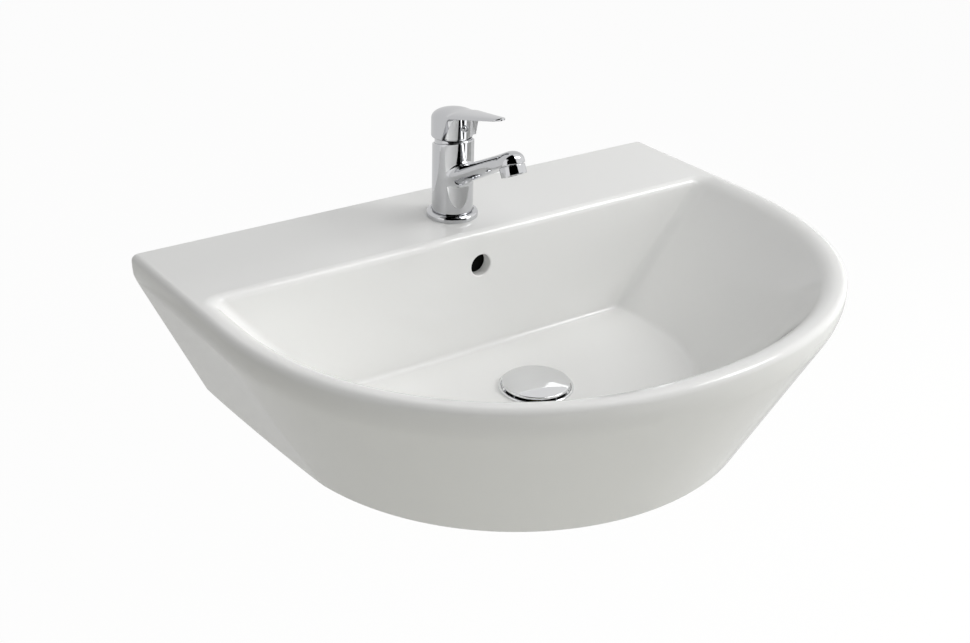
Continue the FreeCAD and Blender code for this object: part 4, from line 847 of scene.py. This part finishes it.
class BASIN_OT_tap_body(bpy.types.Operator):
    """Base ring, upright body, the dome under the lever and the neck round it"""

    bl_idname = "basin.tap_body"
    bl_label = "Tap body"

    def execute(self, context):
        size = context.scene.tap_sizes
        place = np.array([0, TAP_Y, DECK_Z])
        edge, rise, radius = size.ring_radius, size.ring_rise, size.body_radius
        bore, recess, recess_rise = 0.017, 0.023, 0.0016
        gap, bevel = 0.0006, 0.0009
        # Rows of radius, height and edge radius, here and below
        ring = ring_of("tap_ring", [
            (bore, rise, 0), (bore, recess_rise, 0), (recess, recess_rise, 0),
            (recess, 0, 0.0003), (edge, 0, 0.0004), (edge, rise, 0.0030),
            (radius + bevel, rise, 0.0003), (radius + gap, rise - bevel, 0)], place)
        piece("tap_ring", ring, "fixed", ["base_ring"], "chrome")

        top, socket, ledge = size.body_top, size.socket_radius, size.socket_floor
        profile = softened([(0, rise, 0), (radius, rise, 0.0005), (radius, top, size.edge),
                            (socket, top, 0.0003), (socket, ledge, 0), (0, ledge, 0)])
        points = revolved(profile, FINE_STEPS)
        lift = np.clip((profile[:, 1] - ledge) / (top - ledge), 0, 1)
        lift = np.where(profile[:, 0] < socket - TINY, 0.0, lift)
        points[..., 2] -= np.tan(size.top_slope) * points[..., 1] * lift[:, None]
        piece("tap_column", surface("tap_column", points + place), "fixed", ["tap_body"], "chrome")

        ball, mouth, foot = size.dome_radius, size.dome_mouth, ledge - size.pivot_z
        hollow = ball - size.dome_wall
        outer = np.linspace(math.asin(foot / ball), math.acos(mouth / ball), ARC_STEPS)
        inner = np.linspace(math.acos(mouth / hollow), math.asin(foot / hollow), ARC_STEPS)
        dome = np.concatenate([arc_line(ball, outer), arc_line(hollow, inner)])
        points = revolved(dome) + np.array([0, TAP_Y, DECK_Z + size.pivot_z])
        piece("tap_dome", surface("tap_dome", points, close_v=True), "fixed",
              ["cartridge_dome"], "chrome")

        play, wall, lip, least = 0.00025, 0.0005, 0.0014, 0.001
        outer, low, top = socket - play, size.neck_low, size.neck_top
        ring = softened([(outer - wall, low, 0), (outer, low, 0), (outer, top, 0.0002),
                         (outer - wall, top, 0.0002)], 3)
        points = revolved(ring, FINE_STEPS)
        limit = top + lip - np.tan(size.neck_slope) * points[..., 1]
        points[..., 2] = np.minimum(points[..., 2], np.maximum(limit, low + least))
        neck = surface("tap_neck", points + place, close_v=True)
        piece("tap_neck", neck, "carrier", [], "chrome")
        return {"FINISHED"}


def spout_rows(size, count=ROUND_STEPS):
    """Rows of the spout in its own axes: across, up square to the axis, and along the axis.

    The root is the line where a round of radius R keeps R(1 - cos) off the tube and R(1 - sin)
    off the body. Along the tube the section turns from an oval into a domed head: an oval of
    revolution over upright sides and a flat end, whose width is a circle in plan.
    """
    turn = 2 * math.pi * steps(count)
    cos, sin = np.cos(turn), np.sin(turn)
    rise = size.spout_rise
    reach, head = size.spout_reach, size.head_radius
    side_share, box_power, blend_power, swell_blend = 0.30, 0.30, 1.5, 0.0012
    head_from, head_to = 0.072, reach - 0.010
    first_row, settle = 0.06, 12

    def half_width(along):
        """Half the tube's width at a distance from the body's axis."""
        return mixed(size.root_width, size.end_width, along / reach)

    def half_height(along):
        """Half the tube's height at a distance from the body's axis."""
        return mixed(size.root_height, size.end_height, along / reach)

    blend = mixed(size.top_blend, size.side_blend, np.abs(cos) ** blend_power)
    rows = []
    for arc in np.linspace(math.pi / 2, 0, SPOUT_ROWS["root"]):
        off_tube = blend * (1 - math.cos(arc))
        off_body = blend * (1 - math.sin(arc))
        along = np.full(count, size.body_radius)
        for _ in range(settle):
            across = (half_width(along) + off_tube) * cos
            up = (half_height(along) + off_tube) * sin
            ahead = np.sqrt(np.maximum((size.body_radius + off_body) ** 2 - across ** 2, 0))
            along = (ahead + up * math.sin(rise)) / math.cos(rise)
        rows.append(np.stack([across, up, along], -1))
    root = rows[-1][:, 2]

    nose = head * np.sin(np.linspace(0, math.pi / 2, SPOUT_ROWS["nose"]))[1:]
    tube = np.linspace(first_row, 1, SPOUT_ROWS["tube"])
    stations = np.concatenate([tube, 1 + nose / reach])
    side_top = -size.head_below + side_share * (size.head_below + size.head_above)
    dome = size.head_above - side_top
    for station in stations:
        along = mixed(root, reach, np.minimum(station, 1.0)) + max(station - 1.0, 0.0) * reach
        past = np.maximum(along - reach, 0.0)
        behind = np.clip((reach - along) / head, 0, 1)
        round_width = head * np.sqrt(np.maximum(1 - behind ** 2, 0))
        tube_width = half_width(np.minimum(along, reach))
        swell = 0.5 * (tube_width + round_width
                       + np.hypot(tube_width - round_width, swell_blend))
        swell = np.minimum(swell, head)
        nose_width = head * np.sqrt(np.maximum(1 - (past / head) ** 2, 0))
        width = np.where(past > 0, nose_width, swell)
        tall = half_height(np.minimum(along, reach))
        oval = np.stack([width * cos, tall * sin], -1)
        boxed = width * np.sign(cos) * np.abs(cos) ** box_power
        across = np.where(sin >= 0, width * cos, boxed)
        spread = (across * head / np.maximum(swell, TINY)) ** 2 + past ** 2
        upper = side_top + dome * np.sqrt(np.maximum(1 - spread / head ** 2, 0))
        lower = side_top - (side_top + size.head_below) * np.abs(sin) ** box_power
        domed = np.stack([across, np.where(sin >= 0, upper, lower)], -1)
        weight = ease((along - head_from) / (head_to - head_from))[:, None]
        section = mixed(oval, domed, weight)
        rows.append(np.concatenate([section, along[:, None]], 1))
    return np.stack(rows)


class BASIN_OT_spout(bpy.types.Operator):
    """Spout with its blended root, rounded head and outlet ring"""

    bl_idname = "basin.spout"
    bl_label = "Spout"

    def execute(self, context):
        size = context.scene.tap_sizes
        local = spout_rows(size)
        points = np.stack([local[..., 0], -local[..., 2], local[..., 1]], -1)
        place = (0, TAP_Y, DECK_Z + size.spout_z)
        mesh = surface("tap_spout", tilted(points, -size.spout_rise, place))
        piece("tap_spout", mesh, "fixed", ["spout"], "chrome")
        radius, top = size.aerator_radius, -size.head_below
        low = top - size.aerator_length
        inner, neck, bore = radius - 0.0026, radius - 0.0012, 0.0078
        seam, inside, shelf = top - 0.0004, top + 0.003, top - 0.0012
        profile = softened([
            (inner, low, 0.0005), (radius, low, 0.0008), (radius, seam, 0.0004), (neck, seam, 0),
            (neck, inside, 0), (bore, inside, 0), (bore, shelf, 0), (inner, shelf, 0)])
        grid = revolved(profile) - np.array([0, size.spout_reach, 0])
        mesh = surface("outlet_ring", tilted(grid, -size.spout_rise, place), close_v=True)
        piece("outlet_ring", mesh, "fixed", ["aerator_housing"], "chrome")
        return {"FINISHED"}


def ridge_line(size, ahead):
    """Height of the lever's ridge: a level line that bends into a rising one, which is half the
    sum of the distance and the root of its square and the bend's square."""
    along = ahead - size.ridge_start
    return size.ridge_z + size.ridge_rise * (along + np.sqrt(along ** 2 + size.ridge_bend ** 2)) / 2


def lever_rows(size):
    """Rows of the lever, from the back of its hood to its tip.

    A section has a flat base with round lower corners, upright sides and, over them, a rounded
    oval whose sine and cosine are raised to a power. Behind the axis, both halves of the middle
    section turn about the axis until they meet at the back, which makes a dome. Before it, the
    half width follows the hood's circle, a straight line and the tip's circle, and the base
    follows the open front and the underside of the blade.
    """
    hood, tip = size.hood_radius, size.blade_tip
    tip_at = size.blade_reach - tip
    lean = math.asin((hood - tip) / tip_at)
    touch_hood, touch_tip = hood * math.sin(lean), tip_at + tip * math.sin(lean)
    first = np.linspace(0, size.window_foot, LEVER_ROWS["hood"])[:-1]
    path = softened([(0, size.hood_base, 0), (size.window_foot, size.hood_base, 0.0008),
                     (size.window_head, size.window_z, size.window_round),
                     (size.blade_reach, size.tip_under, 0), (0, size.tip_under, 0)],
                    LEVER_ROWS["window"])[1:-2]
    blade = np.linspace(0, 1, LEVER_ROWS["blade"])[1:, None]
    end = np.array([tip_at, size.tip_under - (size.tip_under - size.window_z)
                    * tip / (size.blade_reach - size.window_head)])
    straight = mixed(path[-1], end, blade)
    nose = tip_at + tip * np.sin(np.linspace(0, math.pi / 2, LEVER_ROWS["tip"]))[1:]
    under = mixed(end[1], size.tip_under, (nose - tip_at) / tip)
    ahead = np.concatenate([first, path[:, 0], straight[:, 0], nose])
    base = np.concatenate([np.full(len(first), size.hood_base), path[:, 1], straight[:, 1], under])

    width = np.where(ahead < touch_hood, np.sqrt(np.maximum(hood ** 2 - ahead ** 2, 0)),
                     hood * math.cos(lean) - (ahead - touch_hood) * math.tan(lean))
    tip_width = np.sqrt(np.maximum(tip ** 2 - (ahead - tip_at) ** 2, 0))
    width = np.where(ahead > touch_tip, tip_width, width)
    width[-1] = 0.0
    top = ridge_line(size, ahead)
    window_share, most_crown, most_corner = 0.92, 0.85, 0.3
    crown = np.interp(ahead, [0.0, size.window_head, size.blade_middle, size.blade_reach],
                      [size.hood_crown, window_share * size.hood_crown, size.blade_crown,
                       size.tip_crown])
    crown = np.minimum(crown, most_crown * (top - base))
    shoulder = top - crown
    corner = np.minimum(size.lever_edge, np.minimum(width / 2, most_corner * (shoulder - base)))

    across = np.linspace(1, -1, LEVER_POINTS["base"])
    turn = math.pi - math.pi * steps(LEVER_POINTS["top"])
    bulge = 2 / size.lever_power
    arc_x = np.sign(np.cos(turn)) * np.abs(np.cos(turn)) ** bulge
    arc_z = np.abs(np.sin(turn)) ** bulge
    up = np.linspace(0, 1, LEVER_POINTS["side"])[:-1]
    bend = np.linspace(0, math.pi / 2, LEVER_POINTS["corner"])[1:-1]
    w, b, s, c, r = (value[:, None] for value in (width, base, shoulder, crown, corner))
    low = b + r
    flat = (w - r) * across
    left = -w + r - r * np.sin(bend)
    lift = low - r * np.cos(bend)
    x = np.concatenate([flat, left, -w * np.ones_like(up), w * arc_x, w * np.ones_like(up),
                        w * np.ones_like(low), -left[:, ::-1]], 1)
    z = np.concatenate([b * np.ones_like(across), lift, mixed(low, s, up), s + c * arc_z,
                        mixed(s, low, up), low, lift[:, ::-1]], 1)
    y = np.broadcast_to(-ahead[:, None], x.shape)
    front = np.stack([x, y, z], -1)

    turn = np.linspace(math.pi / 2, 0, LEVER_ROWS["back"])[:-1, None]
    back_x = x[0] * np.cos(turn)
    back_y = np.abs(x[0]) * np.sin(turn)
    share_up = (z[0] - base[0]) / (top[0] - base[0])
    back_z = z[0] + (ridge_line(size, -back_y) - top[0]) * share_up
    return np.concatenate([np.stack([back_x, back_y, back_z], -1), front])


class BASIN_OT_lever(bpy.types.Operator):
    """Hooded lever with its hub and the small plug in it"""

    bl_idname = "basin.lever"
    bl_label = "Lever"

    def execute(self, context):
        size = context.scene.tap_sizes
        place = np.array([0, TAP_Y, DECK_Z])
        mesh = surface("tap_lever", lever_rows(size) + place)
        lap, play = 0.001, 0.0006
        radius, low, high = size.hub_radius, size.hood_base + lap, size.window_z - lap
        hub = softened([(0, low, 0), (radius, low, 0.0006), (radius, high, 0), (0, high, 0)])
        points = revolved(hub)
        points[..., 2] -= size.hub_slope * points[..., 1] * (hub[:, 1] > high - TINY)[:, None]
        mesh = joined(mesh, surface("hub", points + place), "UNION")
        collar = rod(size.collar_radius, size.pivot_z, low + lap)
        room, tall = 0.03, 0.1
        behind = box(place - np.array([room, size.collar_start, 0]),
                     place + np.array([room, room, tall]))
        collar = joined(surface("collar", collar + place), behind, "DIFFERENCE")
        mesh = joined(mesh, collar, "UNION")
        rise = np.linspace(-math.pi / 2, math.pi / 2, 2 * ARC_STEPS + 1)
        ball = arc_line(size.dome_radius + play, rise, size.pivot_z)
        ball[[0, -1], 0] = 0.0
        mesh = joined(mesh, surface("ball", revolved(ball) + place), "DIFFERENCE")
        piece("tap_lever", mesh, "lever", ["lever_handle"], "chrome", sharp=32.0)

        radius = size.index_radius
        rim_half, crown, valley, bead, depth = 0.15, 0.0014, 0.0001, 0.0007, 0.004
        t = np.linspace(0, 1, ARC_STEPS // 2)
        face = np.stack([radius * (1 - 2 * rim_half) * t, mixed(crown, valley, t ** 2)], -1)
        turn = np.linspace(0, math.pi, EDGE_STEPS)[1:]
        rim = np.stack([radius * (1 - rim_half - rim_half * np.cos(turn)),
                        valley + bead * np.sin(turn)], -1)
        profile = np.concatenate([face, rim, [(radius, -depth), (0.0, -depth)]])
        seat = (0, TAP_Y - size.hub_radius, DECK_Z + size.index_z)
        grid = tilted(revolved(profile, ROUND_STEPS // 2), math.pi / 2, seat)
        plug = surface("index_button", grid)
        piece("index_button", plug, "lever", ["index_plug"], "index")
        return {"FINISHED"}


def node(tree, kind, place, **values):
    """A shader node with its plain settings."""
    made = tree.nodes.new(kind)
    made.location = place
    for key, value in values.items():
        setattr(made, key, value)
    return made


def surface_play():
    """Shared group: soft clouding and fine grain over a surface, read from its own place."""
    name = "surface_play"
    if name in bpy.data.node_groups:
        return bpy.data.node_groups[name]
    group = bpy.data.node_groups.new(name, "ShaderNodeTree")
    for side, kind, labels in (
            ("INPUT", "Float", ("Cloud Scale", "Grain Scale", "Low", "High")),
            ("INPUT", "Color", ("First", "Second")),
            ("OUTPUT", "Color", ("Color",)),
            ("OUTPUT", "Float", ("Roughness", "Height"))):
        for label in labels:
            group.interface.new_socket(label, in_out=side, socket_type="NodeSocket" + kind)
    inlet = node(group, "NodeGroupInput", (-700, 0))
    outlet = node(group, "NodeGroupOutput", (500, 0))
    place = node(group, "ShaderNodeTexCoord", (-700, 300))
    cloud = node(group, "ShaderNodeTexNoise", (-400, 250))
    cloud.inputs["Detail"].default_value = 3.0
    grain = node(group, "ShaderNodeTexNoise", (-400, -50))
    grain.inputs["Detail"].default_value = 2.0
    tint = node(group, "ShaderNodeMix", (-100, 250), data_type="RGBA")
    rough = node(group, "ShaderNodeMapRange", (-100, 0))
    grain_share = 0.25
    height = node(group, "ShaderNodeMath", (150, -150), operation="MULTIPLY_ADD")
    height.inputs[1].default_value = grain_share
    link = group.links.new
    for noise, scale in ((cloud, "Cloud Scale"), (grain, "Grain Scale")):
        link(place.outputs["Object"], noise.inputs["Vector"])
        link(inlet.outputs[scale], noise.inputs["Scale"])
    link(cloud.outputs["Fac"], tint.inputs["Factor"])
    link(inlet.outputs["First"], tint.inputs["A"])
    link(inlet.outputs["Second"], tint.inputs["B"])
    link(cloud.outputs["Fac"], rough.inputs["Value"])
    link(inlet.outputs["Low"], rough.inputs["To Min"])
    link(inlet.outputs["High"], rough.inputs["To Max"])
    link(grain.outputs["Fac"], height.inputs[0])
    link(cloud.outputs["Fac"], height.inputs[2])
    link(tint.outputs["Result"], outlet.inputs["Color"])
    link(rough.outputs["Result"], outlet.inputs["Roughness"])
    link(height.outputs["Value"], outlet.inputs["Height"])
    return group


FINISH_PLAY = {
    # slot: metallic, cloud scale, grain scale, low and high roughness, tint, bump
    "glaze": (0.0, 7.0, 90.0, 0.025, 0.05, 0.985, 0.010),
    "chrome": (1.0, 30.0, 700.0, 0.015, 0.045, 0.97, 0.0),
    # Painted light: same as chrome but for its brighter colour, which stands in for brighter
    # reflections
    "waste": (1.0, 30.0, 700.0, 0.015, 0.045, 0.97, 0.0),
    "brass": (1.0, 60.0, 900.0, 0.22, 0.36, 0.88, 0.04),
    "steel": (1.0, 70.0, 900.0, 0.24, 0.40, 0.90, 0.04),
    "rubber": (0.0, 60.0, 1200.0, 0.55, 0.75, 1.30, 0.10),
    "guide_plastic": (0.0, 40.0, 900.0, 0.38, 0.50, 0.95, 0.04),
    "cartridge_plastic": (0.0, 40.0, 900.0, 0.36, 0.50, 0.90, 0.05),
    "disc_ceramic": (0.0, 50.0, 1200.0, 0.16, 0.26, 0.97, 0.02),
    "index": (1.0, 90.0, 900.0, 0.05, 0.10, 0.92, 0.0),
}


def finish(slot):
    """Material of one finish: its colour, gloss and fine relief vary over the surface."""
    name = slot + "_finish"
    if name in bpy.data.materials:
        return bpy.data.materials[name]
    metal, cloud, grain, low, high, tint, bump = FINISH_PLAY[slot]
    bump_height = 0.002
    finishes = bpy.context.scene.basin_finishes
    base = np.array(getattr(finishes, slot))
    material = bpy.data.materials.new(name)
    material.use_nodes = True
    tree = material.node_tree
    shader = tree.nodes["Principled BSDF"]
    play = node(tree, "ShaderNodeGroup", (-400, 100), node_tree=surface_play())
    for label, value in (("Cloud Scale", cloud), ("Grain Scale", grain), ("Low", low),
                         ("High", high), ("First", (*base, 1.0)),
                         ("Second", (*np.clip(base * tint, 0, 1), 1.0))):
        play.inputs[label].default_value = value
    link = tree.links.new
    tinted = play.outputs["Color"]
    if slot == "glaze":
        # Painted shade: faces marked inside the overflow duct take a near-black colour in place of
        # their shade
        shade_mark = node(tree, "ShaderNodeAttribute", (-400, 350), attribute_name="raw")
        inside = node(tree, "ShaderNodeMix", (-180, 250), data_type="RGBA")
        inside.inputs["B"].default_value = (*finishes.raw, 1.0)
        link(shade_mark.outputs["Fac"], inside.inputs["Factor"])
        link(tinted, inside.inputs["A"])
        tinted = inside.outputs["Result"]
    link(tinted, shader.inputs["Base Color"])
    link(play.outputs["Roughness"], shader.inputs["Roughness"])
    if bump:
        relief = node(tree, "ShaderNodeBump", (-180, -200))
        relief.inputs["Strength"].default_value = bump
        relief.inputs["Distance"].default_value = bump_height
        link(play.outputs["Height"], relief.inputs["Height"])
        link(relief.outputs["Normal"], shader.inputs["Normal"])
    shader.inputs["Metallic"].default_value = metal
    return material


def dress(thing, slot):
    """Gives a piece or a solid the finish of its slot."""
    thing.data.materials.clear()
    thing.data.materials.append(finish(slot))


class BASIN_OT_solids(bpy.types.Operator):
    """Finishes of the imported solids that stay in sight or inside"""

    bl_idname = "basin.solids"
    bl_label = "Solids"

    def execute(self, context):
        for part in frame["record"]["subparts"]:
            thing = frame["nodes"][part["node"]]
            material = finish(part["material_slot"])
            if not thing.material_slots:
                thing.data.materials.append(material)
            for slot in thing.material_slots:
                slot.material = material
        return {"FINISHED"}


def bare_tree(owner):
    """Empty node tree of a new material or world."""
    owner.use_nodes = True
    owner.node_tree.nodes.clear()
    return owner.node_tree


def glowing(tree, kind, place, strength):
    """Emission or background node of plain white light."""
    made = node(tree, kind, place)
    made.inputs["Color"].default_value = WHITE
    made.inputs["Strength"].default_value = strength
    return made


def seen(tree):
    """Light Path's camera, glossy and transmission rays as one value, made in a material's or
    the world's own tree."""
    path = node(tree, "ShaderNodeLightPath", (-700, 400))
    first = node(tree, "ShaderNodeMath", (-500, 400), operation="MAXIMUM")
    second = node(tree, "ShaderNodeMath", (-300, 400), operation="MAXIMUM")
    tree.links.new(path.outputs["Is Camera Ray"], first.inputs[0])
    tree.links.new(path.outputs["Is Glossy Ray"], first.inputs[1])
    tree.links.new(first.outputs["Value"], second.inputs[0])
    tree.links.new(path.outputs["Is Transmission Ray"], second.inputs[1])
    return second.outputs["Value"]


def paper(stage):
    """Floor material: plain matt paper that is seen white and keeps the object's soft shadow."""
    material = bpy.data.materials.new("paper")
    tree = bare_tree(material)
    out = node(tree, "ShaderNodeOutputMaterial", (600, 0))
    matt = node(tree, "ShaderNodeBsdfDiffuse", (-100, 150))
    matt.inputs["Color"].default_value = (*stage.paper, 1.0)
    glow = glowing(tree, "ShaderNodeEmission", (-100, -50), 1.0)
    white = node(tree, "ShaderNodeMixShader", (150, 50))
    white.inputs["Fac"].default_value = stage.white
    pick = node(tree, "ShaderNodeMixShader", (400, 0))
    link = tree.links.new
    link(matt.outputs["BSDF"], white.inputs[1])
    link(glow.outputs["Emission"], white.inputs[2])
    link(seen(tree), pick.inputs["Fac"])
    link(matt.outputs["BSDF"], pick.inputs[1])
    link(white.outputs["Shader"], pick.inputs[2])
    link(pick.outputs["Shader"], out.inputs["Surface"])
    return material


def surroundings(stage):
    """World: white where it is seen, in metal too, and even soft light on the object."""
    world = bpy.data.worlds.new("studio")
    bpy.context.scene.world = world
    tree = bare_tree(world)
    out = node(tree, "ShaderNodeOutputWorld", (700, 0))
    soft = glowing(tree, "ShaderNodeBackground", (0, 0), stage.ambient)
    white = glowing(tree, "ShaderNodeBackground", (0, 150), 1.0)
    pick = node(tree, "ShaderNodeMixShader", (400, 0))
    link = tree.links.new
    link(seen(tree), pick.inputs["Fac"])
    link(soft.outputs["Background"], pick.inputs[1])
    link(white.outputs["Background"], pick.inputs[2])
    link(pick.outputs["Shader"], out.inputs["Surface"])


def lamp(name, watts, width, depth, place, target):
    """Soft rectangular lamp that faces a point."""
    light = bpy.data.lights.new(name, "AREA")
    light.shape = "RECTANGLE"
    light.size = width
    light.size_y = depth
    light.energy = watts
    thing = bpy.data.objects.new(name, light)
    thing.location = place
    thing.rotation_euler = (Vector(target) - Vector(place)).to_track_quat("-Z", "Y").to_euler()
    bpy.context.scene.collection.objects.link(thing)
    return thing


def standing(place, width, low, high):
    """Corners of a rectangle that stands at a place, faces the tap and lies between two heights."""
    place = np.array(place)
    away = place - np.array([0.0, TAP_Y])
    aside = np.array([-away[1], away[0]]) / np.linalg.norm(away) * width / 2
    ends = np.stack([place - aside, place + aside])
    return at_heights(np.stack([ends, ends[::-1]]), np.array([[low], [high]])).reshape(-1, 3)


def lying(low, high, z):
    """Corners of a level rectangle at one height."""
    return [(low[0], low[1], z), (high[0], low[1], z), (high[0], high[1], z), (low[0], high[1], z)]


def studio_flat(name, corners, material):
    """Flat rectangle of the studio."""
    mesh = bpy.data.meshes.new(name)
    mesh.from_pydata([tuple(corner) for corner in corners], [], [(0, 1, 2, 3)])
    mesh.materials.append(material)
    thing = bpy.data.objects.new(name, mesh)
    bpy.context.scene.collection.objects.link(thing)
    return thing


def card(name, level, corners):
    """Flat studio card with an even glow, which shows only in reflections."""
    material = bpy.data.materials.new(name)
    tree = bare_tree(material)
    out = node(tree, "ShaderNodeOutputMaterial", (200, 0))
    glow = glowing(tree, "ShaderNodeEmission", (0, 0), level)
    tree.links.new(glow.outputs["Emission"], out.inputs["Surface"])
    thing = studio_flat(name, corners, material)
    thing.visible_camera = False
    thing.visible_diffuse = False
    thing.visible_transmission = False
    thing.visible_shadow = False


def photo_camera(stage):
    """Camera at the photograph's angle: it looks ahead by yaw and pitch and is then rolled."""
    yaw, pitch, roll = stage.yaw, stage.pitch, stage.roll
    ahead = Vector((math.sin(yaw) * math.cos(pitch), math.cos(yaw) * math.cos(pitch),
                    -math.sin(pitch)))
    level = Vector((math.cos(yaw), -math.sin(yaw), 0.0))
    upright = level.cross(ahead)
    right = math.cos(roll) * level + math.sin(roll) * upright
    top = -math.sin(roll) * level + math.cos(roll) * upright
    data = bpy.data.cameras.new("camera")
    data.sensor_fit = "HORIZONTAL"
    data.sensor_width = stage.sensor
    data.lens = stage.lens
    camera = bpy.data.objects.new("camera", data)
    turn = Matrix((right, top, -ahead)).transposed().to_4x4()
    camera.matrix_world = Matrix.Translation(stage.camera) @ turn
    bpy.context.scene.collection.objects.link(camera)
    return camera


class BASIN_OT_stage(bpy.types.Operator):
    """Pale floor, soft light and the camera"""

    bl_idname = "basin.stage"
    bl_label = "Stage"

    def execute(self, context):
        scene = context.scene
        stage = scene.basin_stage
        scene.view_settings.view_transform = "Standard"
        reach, middle, above_floor = 14.0, (0, -0.23, 0), 0.02
        floor_z = -stage.floor_drop
        studio_flat("floor", lying((-reach, -reach), (reach, reach), floor_z), paper(stage))
        surroundings(stage)
        # Name, power, width, depth and place of each lamp; only the key shows in reflections
        lamp("key", stage.key, 0.7, 0.7, (1.5, -1.2, 1.5), middle)
        for row in (("overhead", stage.overhead, 1.6, 1.2, (0.0, -0.3, 2.0)),
                    ("right", stage.right, 1.2, 1.2, (2.2, -0.6, 0.45)),
                    ("front", stage.front, 1.4, 0.9, (-0.2, -2.3, 1.2))):
            lamp(*row, middle).visible_glossy = False
        # Place, width, lower and upper end of each standing card; corners of each level one
        card("backdrop", stage.backdrop, standing((0.0, 0.4), 5.0, -0.2, 2.2))
        card("dark_strip", 0.0, standing((0.056, -0.251), 0.058, 0.05, 0.16))
        card("white_strip", stage.strip, standing((0.119, -0.232), 0.046, 0.05, 0.16))
        card("curtain", 0.0, standing((-1.4, -2.65), 5.0, -0.25, 2.7))
        card("ceiling", 0.0, lying((-3.0, -3.6), (0.5, 0.5), 2.7))
        card("long_light", stage.line, [(0.08, -0.5, 0.60), (0.55, -0.5, 0.60),
                                        (0.55, -0.5, 0.86), (0.08, -0.5, 0.86)])
        card("under", stage.under, lying((-3.0, -1.5), (4.0, 4.0), floor_z + above_floor))
        scene.camera = photo_camera(stage)
        return {"FINISHED"}


OPERATORS = (BASIN_OT_solids, BASIN_OT_shell, BASIN_OT_waste, BASIN_OT_tap_body,
             BASIN_OT_spout, BASIN_OT_lever, BASIN_OT_stage)
GROUPS = {"basin_sizes": BasinSizes, "waste_sizes": WasteSizes, "tap_sizes": TapSizes,
          "basin_finishes": Finishes, "basin_stage": StageSettings}


class BASIN_PT_panel(bpy.types.Panel):
    """Sizes, finishes and pieces of the basin"""

    bl_idname = "BASIN_PT_panel"
    bl_label = "Wall-hung basin"
    bl_space_type = "VIEW_3D"
    bl_region_type = "UI"
    bl_category = "Basin"

    def draw(self, context):
        for operator in OPERATORS:
            self.layout.operator(operator.bl_idname)
        for group, kind in GROUPS.items():
            for name in kind.__annotations__:
                self.layout.prop(getattr(context.scene, group), name)


def register():
    """Makes the settings, operators and panel known to Blender."""
    for kind in (*GROUPS.values(), *OPERATORS, BASIN_PT_panel):
        bpy.utils.register_class(kind)
    for name, kind in GROUPS.items():
        setattr(bpy.types.Scene, name, bpy.props.PointerProperty(type=kind))


def unregister():
    """Takes back what register did."""
    for name in GROUPS:
        delattr(bpy.types.Scene, name)
    for kind in (BASIN_PT_panel, *reversed(OPERATORS), *GROUPS.values()):
        bpy.utils.unregister_class(kind)


def main():
    """Builds the pieces and the stage in order."""
    register()
    bpy.ops.basin.solids()
    bpy.ops.basin.shell()
    bpy.ops.basin.waste()
    bpy.ops.basin.tap_body()
    bpy.ops.basin.spout()
    bpy.ops.basin.lever()
    bpy.ops.basin.stage()


if __name__ == "__main__":
    main()
